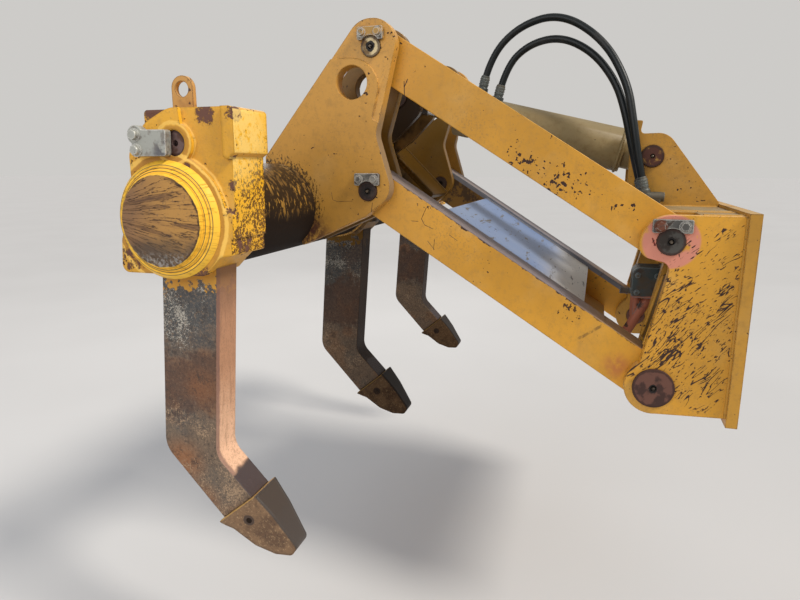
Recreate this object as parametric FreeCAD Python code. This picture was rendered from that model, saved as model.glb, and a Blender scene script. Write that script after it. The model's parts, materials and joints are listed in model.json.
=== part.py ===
"""Three-shank parallelogram ripper for the rear of a crawler tractor, shown fully raised.

Axes: +X towards the tractor's right side, +Y forward, +Z up. Millimetres.
Origin: centre of the bolting face, where the mount bracket meets the tractor's rear case.
A side view point is written (y, z). Pins A and C are on the beam, B and D on the bracket.
"""
import FreeCAD
import Part
import math
import os

from FreeCAD import Vector

os.makedirs("parts", exist_ok=True)

# Linkage
LINK_LENGTH = 1000.0
LINK_RISE = 32.3            # degrees above level, from the bracket back to the beam
PIN_B = (-207.0, 211.0)     # upper link on the bracket
PIN_D = (-219.0, -200.0)    # lower link on the bracket
PIN_T = (-240.0, 440.0)     # lift cylinder on the tower
PIN_RADIUS = 36.0           # pins B and D
BEAM_PIN_RADIUS = 29.0      # pins A and C
PIN_HEAD_RADIUS = 56.0      # pin D
PIN_HEAD_THICKNESS = 9.0
PIN_PROUD = 6.0             # how far a pin stands out of its plate
PIN_CENTRE_HOLE = 7.0
PIN_CLEARANCE = 0.06
SIDE_CLEARANCE = 5.0

# Lateral stack, measured from the centre plane
FACE_WIDTH = 1120.0
EAR_FROM_SIDE = 15.0        # from the bolting plate's end
EAR_OUTER_FACE = FACE_WIDTH / 2 - EAR_FROM_SIDE
EAR_THICKNESS = 40.0
LINK_WIDTH = 100.0
LINK_DEPTH = 131.0
LINK_EYE_RADIUS = 66.0

# Mount bracket
FACE_HEIGHT = 580.0
FACE_THICKNESS = 30.0
BRACKET_TOP = 281.0
BRACKET_BOTTOM = -270.0
TOP_PLATE_THICKNESS = 30.0
BOLT_HOLE_RADIUS = 16.5
BOLTS_FROM_TOP = 70.0
BOLTS_FROM_SIDE = 110.0
BOLTS_BETWEEN_COLUMNS = 190.0
EAR_TOP_RADIUS = 79.0
EAR_BOSS_RADIUS = 78.0
WEB_THICKNESS = 25.0
REAR_PLATE_SET_BACK = 150.0

# Cylinder tower
TOWER_EAR_THICKNESS = 30.0
TOWER_EYE_RADIUS = 72.0

# Lift cylinder
CYLINDER_EYE_WIDTH = 160.0
CYLINDER_PIN_RADIUS = 35.0
BARREL_RADIUS = 73.0
ROD_RADIUS = 35.0
ROD_EYE_RADIUS = 62.0
BASE_EYE_RADIUS = 66.0
BARREL_START = 88.0
BORE_START = 148.0
ROD_SHOWN = 206.8           # from the barrel's end to the rod's pin
GLAND_LENGTH = 55.0
GLAND_RADIUS = 79.0
WELD_GAP = 0.25             # under the port sleeves

# Ripper beam
TUBE_RADIUS = 136.5
TUBE_WALL = 20.0
END_DISC_RADIUS = 109.5
SHANK_SPACING = 1000.0
PIN_C_FROM_TUBE = (313.0, 54.0)
ROD_PIN_FROM_TUBE = (265.0, 368.0)
ACCESS_HOLE_RADIUS = 48.0
INNER_PLATE_SET_BACK = 25.0
OUTER_PLATE_SET_BACK = 9.0
FRONT_PLATE_THICKNESS = 20.0
DOUBLER_THICKNESS = 6.0

# Shank pockets, shanks and teeth
POCKET_WIDTH = 150.0
POCKET_TOP = TUBE_RADIUS + 123.5
POCKET_RECESS = 12.0
POCKET_BOSS_RADIUS = 48.0
POCKET_RING_WIDTH = 21.5
SHANK_THICKNESS = 90.0
SHANK_WIDTH = 156.0
SHANK_TILT = 4.2
SHANK_BEND = 796.0          # from the pin's height down to the bend
SHANK_PIN_HEIGHT = TUBE_RADIUS + 43.5
SHANK_PIN_FROM_TUBE = (29.0, SHANK_PIN_HEIGHT)
SHANK_LINE_FROM_TUBE = (46.0, SHANK_PIN_HEIGHT)     # the shank's middle at that height
SHANK_PIN_RADIUS = 30.0
SLOT_CLEARANCE = 0.5
TOOTH_WIDTH = 112.0
TOOTH_TIP_WIDTH = 62.0
EYE_PLATE_THICKNESS = 14.0

# Keeper plates over the pin ends
BRACKET_KEEPER_LENGTH = 100.0
BEAM_KEEPER_LENGTH = 78.0
KEEPER_HEIGHT = 36.0
KEEPER_THICKNESS = 14.0

# Hoses: points chosen by hand from the barrel's ports, over the top, to the tower's foot
HOSE_RADIUS = 12.5
FERRULE_RADIUS = 15.0
ROD_SIDE_HOSE = (
    (0, -820, 692), (4, -797, 789), (18, -700, 883), (45, -559, 910), (90, -416, 813),
    (132, -333, 670), (157, -306, 538), (163, -287, 438), (165, -263, 341),
)
BASE_SIDE_HOSE = (
    (0, -764, 659), (2, -739, 756), (12, -661, 824), (32, -553, 838), (64, -445, 778),
    (98, -369, 679), (124, -334, 582), (131, -303, 458), (133, -267, 336),
)
ARC_SHARE = 0.45            # part of the shorter run that each bend takes

# Derived places
RISE = math.radians(LINK_RISE)
BACK_ALONG_LINK = (-LINK_LENGTH * math.cos(RISE), LINK_LENGTH * math.sin(RISE))


def add(a, b):
    """Sum of two side view points."""
    return (a[0] + b[0], a[1] + b[1])


PIN_A = add(PIN_B, BACK_ALONG_LINK)
PIN_C = add(PIN_D, BACK_ALONG_LINK)
TUBE = (PIN_C[0] - PIN_C_FROM_TUBE[0], PIN_C[1] - PIN_C_FROM_TUBE[1])
PIN_P = add(TUBE, ROD_PIN_FROM_TUBE)

EAR_OUTER_INSIDE = EAR_OUTER_FACE - EAR_THICKNESS
LINK_OUTER = EAR_OUTER_INSIDE - SIDE_CLEARANCE
LINK_INNER = LINK_OUTER - LINK_WIDTH
EAR_INNER_OUTSIDE = LINK_INNER - SIDE_CLEARANCE
EAR_INNER_FACE = EAR_INNER_OUTSIDE - EAR_THICKNESS
TOWER_INNER = CYLINDER_EYE_WIDTH / 2 + SIDE_CLEARANCE
TOWER_OUTER = TOWER_INNER + TOWER_EAR_THICKNESS
DOUBLER_FACE = EAR_OUTER_FACE + DOUBLER_THICKNESS


def rounded(corners):
    """Closed side view outline. A corner is (y, z) or (y, z, fillet radius)."""
    count = len(corners)
    edges = []
    stops = []
    for index, corner in enumerate(corners):
        here = Vector(0, corner[0], corner[1])
        before = Vector(0, *corners[index - 1][:2])
        after = Vector(0, *corners[(index + 1) % count][:2])
        if len(corner) == 2:
            stops.append((here, here))
            continue
        radius = corner[2]
        back = (before - here).normalize()
        ahead = (after - here).normalize()
        half = back.getAngle(ahead) / 2
        reach = radius / math.tan(half)
        start = here + back * reach
        end = here + ahead * reach
        middle = (back + ahead).normalize()
        centre = here + middle * (radius / math.sin(half))
        edges.append(Part.Arc(start, centre - middle * radius, end).toShape())
        stops.append((start, end))
    for index in range(count):
        leave = stops[index][1]
        arrive = stops[(index + 1) % count][0]
        if leave.distanceToPoint(arrive) > 1e-4:
            edges.append(Part.LineSegment(leave, arrive).toShape())
    return Part.Wire(Part.__sortEdges__(edges))


def plate(corners, x_low, x_high):
    """Side view outline given thickness from x_low to x_high."""
    face = Part.Face(rounded(corners))
    face.translate(Vector(x_low, 0, 0))
    return face.extrude(Vector(x_high - x_low, 0, 0))


def bar(centre, radius, x_low, x_high):
    """Round bar along X."""
    start = Vector(x_low, centre[0], centre[1])
    return Part.makeCylinder(radius, x_high - x_low, start, Vector(1, 0, 0))


def block(x_low, x_high, y_low, y_high, z_low, z_high):
    """Box between two corners."""
    size = (x_high - x_low, y_high - y_low, z_high - z_low)
    return Part.makeBox(*size, Vector(x_low, y_low, z_low))


def at(origin, corners):
    """Corners given from an origin, moved to the part's frame."""
    return [(c[0] + origin[0], c[1] + origin[1]) + tuple(c[2:]) for c in corners]


def along(origin, direction, distance, offset=0.0):
    """Side view point at a distance along a unit direction, offset to its left."""
    y = origin[0] + direction[0] * distance - direction[1] * offset
    z = origin[1] + direction[1] * distance + direction[0] * offset
    return (y, z)


def mirrored(solid):
    """The same solid on the tractor's left side."""
    return solid.mirror(Vector(0, 0, 0), Vector(1, 0, 0))


def save(node, *solids):
    """Write one node, as one solid or as several that don't touch."""
    shape = solids[0] if len(solids) == 1 else Part.makeCompound(list(solids))
    shape.exportStep("parts/" + node + ".step")


def save_pair(name, solid):
    """Write a piece of the right side and its mirror image on the left."""
    save(name + "_right", solid)
    save(name + "_left", mirrored(solid))


def fuse(*solids):
    """One solid from several that overlap or touch."""
    return solids[0].multiFuse(list(solids[1:])).removeSplitter()


# Mount bracket
def mounting_plate():
    plate_back = block(-FACE_WIDTH / 2, FACE_WIDTH / 2, -FACE_THICKNESS, 0,
                       -FACE_HEIGHT / 2, FACE_HEIGHT / 2)
    holes = []
    outer = FACE_WIDTH / 2 - BOLTS_FROM_SIDE
    inner = outer - BOLTS_BETWEEN_COLUMNS
    height = FACE_HEIGHT / 2 - BOLTS_FROM_TOP
    for x in (-outer, -inner, inner, outer):
        for z in (-height, height):
            start = Vector(x, -FACE_THICKNESS - 1, z)
            holes.append(Part.makeCylinder(BOLT_HOLE_RADIUS, FACE_THICKNESS + 2, start,
                                           Vector(0, 1, 0)))
    return plate_back.cut(holes)


def bracket_ear(x_low, x_high):
    """Side plate with a round nose at pin B and a round boss at pin D."""
    top = BRACKET_TOP
    nose = PIN_B[0] - EAR_TOP_RADIUS
    corners = [
        (nose, top, EAR_TOP_RADIUS),
        (-FACE_THICKNESS, top),
        (-FACE_THICKNESS, BRACKET_BOTTOM),
        (PIN_D[0] - 10, PIN_D[1] - EAR_BOSS_RADIUS, 40),
        (PIN_D[0] - EAR_BOSS_RADIUS, PIN_D[1] - 20, 60),
        (PIN_D[0] - 40, PIN_D[1] + 70, 60),
        (PIN_B[0] + 6, PIN_B[1] - 60, 25),
        (nose, PIN_B[1] - 41, 38),
    ]
    ear = plate(corners, x_low, x_high)
    ear = fuse(ear, bar(PIN_D, EAR_BOSS_RADIUS, x_low, x_high))
    bores = [bar(pin, PIN_RADIUS + PIN_CLEARANCE, x_low - 1, x_high + 1) for pin in (PIN_B, PIN_D)]
    return ear.cut(bores)


def bracket_top_plate():
    """Level plate between the inner ears, notched for the barrel, and one between each ear pair."""
    rear = PIN_T[0] - 70
    low = BRACKET_TOP - TOP_PLATE_THICKNESS
    middle = block(-EAR_INNER_FACE, EAR_INNER_FACE, rear, -FACE_THICKNESS, low, BRACKET_TOP)
    notch = block(-TOWER_INNER, TOWER_INNER, rear - 1, rear + 45, low - 1, BRACKET_TOP + 1)
    side_rear = PIN_B[0] + LINK_EYE_RADIUS + SIDE_CLEARANCE
    side = block(EAR_INNER_OUTSIDE, EAR_OUTER_INSIDE, side_rear, -FACE_THICKNESS, low, BRACKET_TOP)
    return middle.cut(notch), side, mirrored(side)


def bracket_rear_plate():
    """Cross plate set back between the inner ears."""
    high = BRACKET_TOP - TOP_PLATE_THICKNESS
    y = -REAR_PLATE_SET_BACK
    return block(-EAR_INNER_FACE, EAR_INNER_FACE, y, y + WEB_THICKNESS, BRACKET_BOTTOM, high)


def bracket_side_web():
    """Plate that closes the gap between an ear pair, between the two link eyes."""
    low = add(PIN_D, (-28, 108))
    high = add(PIN_B, (6, -110))
    corners = [low, high, add(high, (WEB_THICKNESS, 0)), add(low, (WEB_THICKNESS, 0))]
    return plate(corners, EAR_INNER_OUTSIDE, EAR_OUTER_INSIDE)


def tower_ear():
    """Upright plate for the cylinder's base pin, sloping down to the bolting plate."""
    corners = [
        (PIN_T[0] - 70, BRACKET_TOP),
        (PIN_T[0] - 70, PIN_T[1] + 115, 8),
        (PIN_T[0] - 36, PIN_T[1] + 113, 5),
        (PIN_T[0] - 42, PIN_T[1] + TOWER_EYE_RADIUS, 12),
        (PIN_T[0] + 42, PIN_T[1] + TOWER_EYE_RADIUS + 2, 60),
        (-FACE_THICKNESS, BRACKET_TOP + 14),
        (-FACE_THICKNESS, BRACKET_TOP),
    ]
    ear = plate(corners, TOWER_INNER, TOWER_OUTER)
    bore = bar(PIN_T, CYLINDER_PIN_RADIUS + PIN_CLEARANCE, TOWER_INNER - 1, TOWER_OUTER + 1)
    return ear.cut(bore)


def pin(centre, radius, x_low, x_high):
    """Pin with a small centre hole in each end."""
    depth = 15.0
    body = bar(centre, radius, x_low, x_high)
    low_hole = bar(centre, PIN_CENTRE_HOLE, x_low - 1, x_low + depth)
    high_hole = bar(centre, PIN_CENTRE_HOLE, x_high - depth, x_high + 1)
    return body.cut([low_hole, high_hole])


def link_pin(centre, radius, face):
    """Pin through a pair of plates and the link eye between."""
    return pin(centre, radius, EAR_INNER_FACE, face + PIN_PROUD)


def headed_pin(centre):
    """The same pin with a round head over the outer ear's boss."""
    end = EAR_OUTER_FACE + PIN_HEAD_THICKNESS
    shaft = pin(centre, PIN_RADIUS, EAR_INNER_FACE, end)
    head = bar(centre, PIN_HEAD_RADIUS, EAR_OUTER_FACE, end)
    return fuse(shaft, head.cut(bar(centre, PIN_RADIUS, EAR_OUTER_FACE - 1, end + 1)))


def keeper(centre, length, radius, face):
    """Flat keeper plate that stops the pin, bolted above it."""
    low = radius - 12
    corners = at(centre, [
        (-length / 2, low, 5),
        (-length / 2, low + KEEPER_HEIGHT, 5),
        (length / 2, low + KEEPER_HEIGHT, 5),
        (length / 2, low, 5),
    ])
    end = face + KEEPER_THICKNESS
    return plate(corners, face, end).cut(bar(centre, radius + 0.5, face - 1, end + 1))


def hose_fittings():
    """Pair of elbows at the tower's foot, on one base, that the hoses end in."""
    low = BRACKET_TOP
    level = low + 31
    solids = []
    for route in (ROD_SIDE_HOSE, BASE_SIDE_HOSE):
        end = Vector(*route[-1])
        down = (end - Vector(*route[-2])).normalize()
        foot = end + down * ((level - end.z) / down.z)
        solids.append(Part.makeCylinder(FERRULE_RADIUS, end.distanceToPoint(foot), end, down))
        run = foot - Vector(0, FERRULE_RADIUS, 0)
        solids.append(Part.makeCylinder(FERRULE_RADIUS, 72, run, Vector(0, 1, 0)))
    x_low = BASE_SIDE_HOSE[-1][0] - FERRULE_RADIUS
    x_high = ROD_SIDE_HOSE[-1][0] + FERRULE_RADIUS
    y_low = BASE_SIDE_HOSE[-1][1] + 10
    solids.append(block(x_low, x_high, y_low, y_low + 46, low, level))
    return fuse(*solids)


def hydraulic_flange():
    """Valve block on a round flange, with a stub, a screwed end and a pipe down to the rear."""
    face = -REAR_PLATE_SET_BACK
    x = 188.0
    neck = Part.makeCylinder(55, 44, Vector(x, face, 42), Vector(0, -1, 0))
    corners = [
        (face - 128, -8, 12),
        (face - 128, 78, 22),
        (face - 112, 92, 22),
        (face - 38, 92, 8),
        (face - 38, -8, 8),
    ]
    body = plate(corners, x - 46, x + 46)
    stub = Part.makeCylinder(10, 40, Vector(x, face - 122, 6), Vector(0, -1, 0))
    screwed_end = Part.makeCylinder(17, 84, Vector(x, face - 110, -90), Vector(0, 0, 1))
    top = Vector(x + 8, face - 65, 0)
    pipe = Part.makeCylinder(16, 150, top, Vector(0, -0.46, -0.89))
    return fuse(neck, body, stub, screwed_end, pipe)


def bracket():
    save("mounting_plate", mounting_plate())
    save_pair("bracket_outer_ear", bracket_ear(EAR_OUTER_INSIDE, EAR_OUTER_FACE))
    save_pair("bracket_inner_ear", bracket_ear(EAR_INNER_FACE, EAR_INNER_OUTSIDE))
    save("bracket_top_plate", *bracket_top_plate())
    save("bracket_rear_plate", bracket_rear_plate())
    web = bracket_side_web()
    save("bracket_side_webs", web, mirrored(web))
    save_pair("cylinder_tower_ear", tower_ear())
    reach = TOWER_OUTER + 8
    save("cylinder_base_pin", pin(PIN_T, CYLINDER_PIN_RADIUS, -reach, reach))
    upper = link_pin(PIN_B, PIN_RADIUS, EAR_OUTER_FACE)
    save("bracket_upper_pins", upper, mirrored(upper))
    lower = headed_pin(PIN_D)
    save("bracket_lower_pins", lower, mirrored(lower))
    plate_b = keeper(PIN_B, BRACKET_KEEPER_LENGTH, PIN_RADIUS, EAR_OUTER_FACE)
    save("bracket_pin_keepers", plate_b, mirrored(plate_b))
    save("hose_fittings", hose_fittings())
    save("hydraulic_flange", hydraulic_flange())


# Links
TOWARDS_BEAM = (-math.cos(RISE), math.sin(RISE))


def link_bar(start, x_low, x_high):
    """Box link with a round eye on each end, from its bracket pin to its beam pin."""
    end = along(start, TOWARDS_BEAM, LINK_LENGTH)
    half = LINK_DEPTH / 2
    corners = [
        along(start, TOWARDS_BEAM, 0, half),
        along(start, TOWARDS_BEAM, LINK_LENGTH, half),
        along(start, TOWARDS_BEAM, LINK_LENGTH, -half),
        along(start, TOWARDS_BEAM, 0, -half),
    ]
    body = plate(corners, x_low, x_high)
    eyes = [bar(pin_at, LINK_EYE_RADIUS, x_low, x_high) for pin_at in (start, end)]
    bores = [bar(p, radius + PIN_CLEARANCE, x_low - 1, x_high + 1)
             for p, radius in ((start, PIN_RADIUS), (end, BEAM_PIN_RADIUS))]
    return fuse(body, *eyes).cut(bores)


# Box of the lower link: distances from pin D along the link, depths from its middle line down
DECK_START = 270.0
BOTTOM_START = 120.0
DECK_END = 800.0
DECK_TOP_DEPTH = 14.0 - LINK_DEPTH / 2
BOTTOM_DEPTH = LINK_DEPTH / 2
DECK_THICKNESS = 20.0
DIAPHRAGM_THICKNESS = 16.0
DIAPHRAGM_FROM_END = 12.0


def cross_plate(start, end, top_depth, bottom_depth):
    """Plate between the two lower arms."""
    sides = ((start, top_depth), (end, top_depth), (end, bottom_depth), (start, bottom_depth))
    corners = [along(PIN_D, TOWARDS_BEAM, distance, depth) for distance, depth in sides]
    return plate(corners, -LINK_INNER, LINK_INNER)


def links():
    save_pair("lower_link_arm", link_bar(PIN_D, LINK_INNER, LINK_OUTER))
    under_deck = DECK_TOP_DEPTH + DECK_THICKNESS
    above_bottom = BOTTOM_DEPTH - DECK_THICKNESS
    save("lower_link_deck", cross_plate(DECK_START, DECK_END, DECK_TOP_DEPTH, under_deck))
    save("lower_link_bottom", cross_plate(BOTTOM_START, DECK_END, above_bottom, BOTTOM_DEPTH))
    starts = (DECK_START + DIAPHRAGM_FROM_END, DECK_END - DIAPHRAGM_FROM_END - DIAPHRAGM_THICKNESS)
    save("lower_link_diaphragms", *[
        cross_plate(start, start + DIAPHRAGM_THICKNESS, under_deck, above_bottom)
        for start in starts])
    save_pair("upper_link", link_bar(PIN_B, LINK_INNER, LINK_OUTER))


# Ripper beam
def beam_tube():
    """Heavy tube between two pockets."""
    length = SHANK_SPACING - POCKET_WIDTH
    x_low = POCKET_WIDTH / 2
    solid = bar(TUBE, TUBE_RADIUS, x_low, x_low + length)
    return solid.cut(bar(TUBE, TUBE_RADIUS - TUBE_WALL, x_low - 1, x_low + length + 1))


def end_cap():
    """Stepped round cap on the outer side of the end pocket."""
    x = SHANK_SPACING + POCKET_WIDTH / 2
    ring = Part.makeCone(TUBE_RADIUS + 6, TUBE_RADIUS - 6, 14, Vector(x, *TUBE), Vector(1, 0, 0))
    step = bar(TUBE, END_DISC_RADIUS + 10, x + 14, x + 22)
    disc = bar(TUBE, END_DISC_RADIUS, x + 22, x + 33)
    return fuse(ring, step, disc)


def side_plate(x_low, x_high, set_back):
    """Plate welded to the tube, with the upper and lower link pins and the access hole."""
    a = (PIN_A[0] - TUBE[0], PIN_A[1] - TUBE[1])
    c = PIN_C_FROM_TUBE
    corners = at(TUBE, [
        (-30, 100),
        (-30, 156),
        (a[0] - 38, a[1] + 78, 74),
        (a[0] + 92, a[1] + 76, 70),
        (348 - set_back, 218, 60),
        (c[0] + 88 - set_back, c[1] - 10, 60),
        (c[0] - 10, c[1] - 78, 60),
        (90, -118),
        (60, 0),
    ])
    blank = plate(corners, x_low, x_high)
    holes = [bar(TUBE, TUBE_RADIUS, x_low - 1, x_high + 1),
             bar(PIN_P, ACCESS_HOLE_RADIUS, x_low - 1, x_high + 1)]
    bore = BEAM_PIN_RADIUS + PIN_CLEARANCE
    holes += [bar(p, bore, x_low - 1, x_high + 1) for p in (PIN_A, PIN_C)]
    return blank.cut(holes)


def outer_side_plate():
    """Side plate doubled on its outside, from above the access hole down past pin C."""
    hole = ROD_PIN_FROM_TUBE
    cover = plate(at(TUBE, [
        (-200, hole[1] + 70),
        (hole[0] + 77, hole[1] + 68, 90),
        (hole[0] + 84, hole[1] - 20),
        (hole[0] + 61, hole[1] - 106, 12),
        (hole[0] + 150, hole[1] - 138),
        (hole[0] + 150, -250),
        (-200, -250),
    ]), EAR_OUTER_FACE, DOUBLER_FACE)
    doubler = side_plate(EAR_OUTER_FACE, DOUBLER_FACE, OUTER_PLATE_SET_BACK).common(cover)
    return fuse(side_plate(EAR_OUTER_INSIDE, EAR_OUTER_FACE, OUTER_PLATE_SET_BACK), doubler)


def front_plate():
    """Sloping plate welded between a lug and an inner side plate, in front of the tube."""
    sink = FRONT_PLATE_THICKNESS / math.sqrt(2)
    corners = at(TUBE, [
        (135, 225),
        (345, 15),
        (345 - sink, 15 - sink),
        (135 - sink, 225 - sink),
    ])
    return plate(corners, TOWER_OUTER, EAR_INNER_FACE)


def cylinder_lug():
    """Plate on the tube beside the rod eye."""
    p = ROD_PIN_FROM_TUBE
    corners = at(TUBE, [
        (40, 60),
        (40, 200, 30),
        (p[0] - 72, p[1] + 66, 60),
        (p[0] + 78, p[1] + 66, 60),
        (p[0] + 92, p[1] - 50, 50),
        (262, 222, 30),
        (150, 150, 30),
        (100, 60),
    ])
    blank = plate(corners, TOWER_INNER, TOWER_OUTER)
    pin_bore = bar(PIN_P, CYLINDER_PIN_RADIUS + PIN_CLEARANCE, TOWER_INNER - 1, TOWER_OUTER + 1)
    return blank.cut([bar(TUBE, TUBE_RADIUS, TOWER_INNER - 1, TOWER_OUTER + 1), pin_bore])


def shank_point(distance, offset):
    """Point from the pin's height, down the shank's middle and forward across it."""
    tilt = math.radians(SHANK_TILT)
    down = (-math.sin(tilt), -math.cos(tilt))
    return along(add(TUBE, SHANK_LINE_FROM_TUBE), down, distance, offset)


def shank_top(clearance=0.0):
    """Top corners of the shank, front to rear, with the rear one cut off."""
    half = SHANK_WIDTH / 2 + clearance
    return [
        shank_point(-42 - clearance, half),
        shank_point(-42 - clearance, -half * 0.3),
        shank_point(28 - clearance, -half),
    ]


def shank(x):
    """Upright bar, bent forward below to the nose that carries the tooth."""
    half = SHANK_THICKNESS / 2
    lower_corners = [
        shank_point(SHANK_BEND, -SHANK_WIDTH / 2) + (70,),
        *at(TUBE, [(78, -790), (164, -718)]),
        shank_point(SHANK_BEND - 4, SHANK_WIDTH / 2) + (60,),
    ]
    solid = plate(shank_top() + lower_corners, x - half, x + half)
    centre = add(TUBE, SHANK_PIN_FROM_TUBE)
    return solid.cut(bar(centre, SHANK_PIN_RADIUS + PIN_CLEARANCE, x - half - 1, x + half + 1))


def tooth(x):
    """Pointed cap on the shank's nose, narrower at its tip."""
    half = TOOTH_WIDTH / 2
    half_tip = TOOTH_TIP_WIDTH / 2
    corners = at(TUBE, [
        (68, -799, 3),
        (180, -705.4, 4),
        (228, -764, 60),
        (284, -851, 16),
        (268, -876, 14),
        (222, -877, 25),
        (167, -857, 40),
        (110, -813, 30),
    ])
    blank = plate(corners, x - half, x + half)
    joint = (TUBE[0] + 120, TUBE[1] - 755)
    reach = 190.0
    forward = (0.794, -0.608)
    plan = ((-80, half + 1), (0, half + 1), (reach, half_tip), (reach + 40, half_tip),
            (reach + 40, -half_tip), (reach, -half_tip), (0, -half - 1), (-80, -half - 1))
    outline = []
    for distance, side in plan:
        y, z = along(joint, forward, distance, -200)
        outline.append(Vector(x + side, y, z))
    taper = Part.Face(Part.makePolygon(outline + outline[:1]))
    across = Vector(0, -forward[1], forward[0])
    return blank.common(taper.extrude(across * 400))


def pocket(x):
    """Cast box round the shank: sunk face, raised pin boss and ring, pad on the front."""
    half = POCKET_WIDTH / 2
    top = POCKET_TOP
    foot = -TUBE_RADIUS
    corners = at(TUBE, [
        (-150, foot + 5, 20),
        (-142, foot + 96, 60),
        (-99, 20, 60),
        (-99, top - 100, 40),
        (-50, top - 34, 70),
        (20, top, 90),
        (190, top, 12),
        (190, top - 103, 8),
        (176, top - 111, 3),
        (174, foot + 98),
        (168, foot + 96),
        (168, foot + 58, 5),
        (135, foot + 52),
        (88, foot + 6, 12),
    ])
    body = plate(corners, x - half, x + half)
    collar = bar(TUBE, TUBE_RADIUS + 6, x - half, x + half)
    rear_corner = plate(at(TUBE, [
        (-83, top - 110),
        (-83, top, 10),
        (40, top),
        (40, top - 110),
    ]), x - 30, x + 30)
    centre = add(TUBE, SHANK_PIN_FROM_TUBE)
    sunk = (x + half - POCKET_RECESS, x + half + 1)
    recess = plate(at(TUBE, [
        (44, top + 20),
        (158, top + 20),
        (158, top - 116, 10),
        (200, top - 116),
        (200, 0),
        (60, 100),
    ]), *sunk)
    ring = bar(TUBE, TUBE_RADIUS + POCKET_RING_WIDTH, *sunk)
    raised = [bar(centre, POCKET_BOSS_RADIUS, *sunk), ring]
    side = SHANK_THICKNESS / 2 + SLOT_CLEARANCE
    half_slot = SHANK_WIDTH / 2 + SLOT_CLEARANCE
    slot_end = [shank_point(400, -half_slot), shank_point(400, half_slot)]
    slot = plate(shank_top(SLOT_CLEARANCE) + slot_end, x - side, x + side)
    bore = bar(centre, SHANK_PIN_RADIUS + PIN_CLEARANCE, x - half - 20, x + half + 20)
    return fuse(body, collar, rear_corner).cut([recess.cut(raised), slot, bore])


def shank_pin(x):
    """Pin that holds the shank, sunk a little behind its retainer."""
    ends = (x - POCKET_WIDTH / 2 - 4, x + POCKET_WIDTH / 2 - 6)
    return pin(add(TUBE, SHANK_PIN_FROM_TUBE), SHANK_PIN_RADIUS, *ends)


def retainer(x):
    """Bolted block that laps over the shank pin's end, with a round lobe for its upper bolt."""
    face = x + POCKET_WIDTH / 2
    height = SHANK_PIN_HEIGHT
    corners = at(TUBE, [
        (-71, height - 30, 6),
        (-71, height + 31, 6),
        (25, height + 30, 6),
        (22, height - 30, 6),
    ])
    lobe = bar(add(TUBE, (-60, height + 19)), 22, face, face + 22)
    return fuse(plate(corners, face, face + 22), lobe)


def lifting_eye(x):
    """Upright plate with a round top and a hole, on top of the pocket."""
    half = EYE_PLATE_THICKNESS / 2
    corners = at(TUBE, [
        (-17, POCKET_TOP),
        (-17, POCKET_TOP + 79, 29),
        (42, POCKET_TOP + 79, 29),
        (42, POCKET_TOP),
    ])
    solid = plate(corners, x - half, x + half)
    hole = add(TUBE, (12, POCKET_TOP + 48))
    return solid.cut(bar(hole, 18, x - half - 1, x + half + 1))


def beam():
    save_pair("beam_tube", beam_tube())
    save_pair("beam_end_cap", end_cap())
    save_pair("beam_outer_plate", outer_side_plate())
    inner_place = (EAR_INNER_FACE, EAR_INNER_OUTSIDE)
    save_pair("beam_inner_plate", side_plate(*inner_place, INNER_PLATE_SET_BACK))
    save_pair("cylinder_lug", cylinder_lug())
    web = front_plate()
    save("beam_front_plates", web, mirrored(web))
    keepers = []
    for name, centre, face in (("beam_upper_pins", PIN_A, EAR_OUTER_FACE),
                               ("beam_lower_pins", PIN_C, DOUBLER_FACE)):
        solid = link_pin(centre, BEAM_PIN_RADIUS, face)
        save(name, solid, mirrored(solid))
        stop = keeper(centre, BEAM_KEEPER_LENGTH, BEAM_PIN_RADIUS, face)
        keepers += [stop, mirrored(stop)]
    save("beam_pin_keepers", *keepers)
    end = pin(PIN_P, CYLINDER_PIN_RADIUS, TOWER_INNER, TOWER_OUTER + 8)
    save("rod_pin_ends", end, mirrored(end))


def shanks():
    """Pocket, shank and tooth on the right, at the centre and, mirrored, on the left."""
    for name, piece in (("shank_pocket", pocket), ("shank", shank), ("tooth", tooth)):
        save_pair(name, piece(SHANK_SPACING))
        save(name + "_centre", piece(0.0))
    for name, piece in (("shank_pins", shank_pin), ("shank_pin_retainers", retainer)):
        side = piece(SHANK_SPACING)
        save(name, side, piece(0.0), mirrored(side))
    eye = lifting_eye(SHANK_SPACING)
    save("lifting_eyes", eye, mirrored(eye))


# Lift cylinder
CYLINDER_LENGTH = math.hypot(PIN_P[0] - PIN_T[0], PIN_P[1] - PIN_T[1])
BARREL_END = CYLINDER_LENGTH - ROD_SHOWN
TOWARDS_ROD = ((PIN_P[0] - PIN_T[0]) / CYLINDER_LENGTH, (PIN_P[1] - PIN_T[1]) / CYLINDER_LENGTH)


def turned(radius, start, end):
    """Round body on the cylinder's axis, between two distances from the base pin."""
    place = along(PIN_T, TOWARDS_ROD, start)
    axis = Vector(0, *TOWARDS_ROD)
    return Part.makeCylinder(radius, end - start, Vector(0, *place), axis)


def barrel():
    half = CYLINDER_EYE_WIDTH / 2
    eye = bar(PIN_T, BASE_EYE_RADIUS, -half, half)
    neck = turned(BASE_EYE_RADIUS - 8, 20, BARREL_START + 5)
    tube = turned(BARREL_RADIUS, BARREL_START, BARREL_END)
    gland = turned(GLAND_RADIUS, BARREL_END - GLAND_LENGTH, BARREL_END)
    solid = fuse(eye, neck, tube, gland)
    bore = bar(PIN_T, CYLINDER_PIN_RADIUS + PIN_CLEARANCE, -half - 1, half + 1)
    inside = turned(ROD_RADIUS + PIN_CLEARANCE, BORE_START, BARREL_END + 1)
    return solid.cut([bore, inside])


def rod():
    half = CYLINDER_EYE_WIDTH / 2
    eye = bar(PIN_P, ROD_EYE_RADIUS, -half, half)
    stem = turned(ROD_RADIUS, BORE_START + 15, CYLINDER_LENGTH - 10)
    bore = bar(PIN_P, CYLINDER_PIN_RADIUS + PIN_CLEARANCE, -half - 1, half + 1)
    return fuse(eye, stem).cut(bore)


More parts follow.
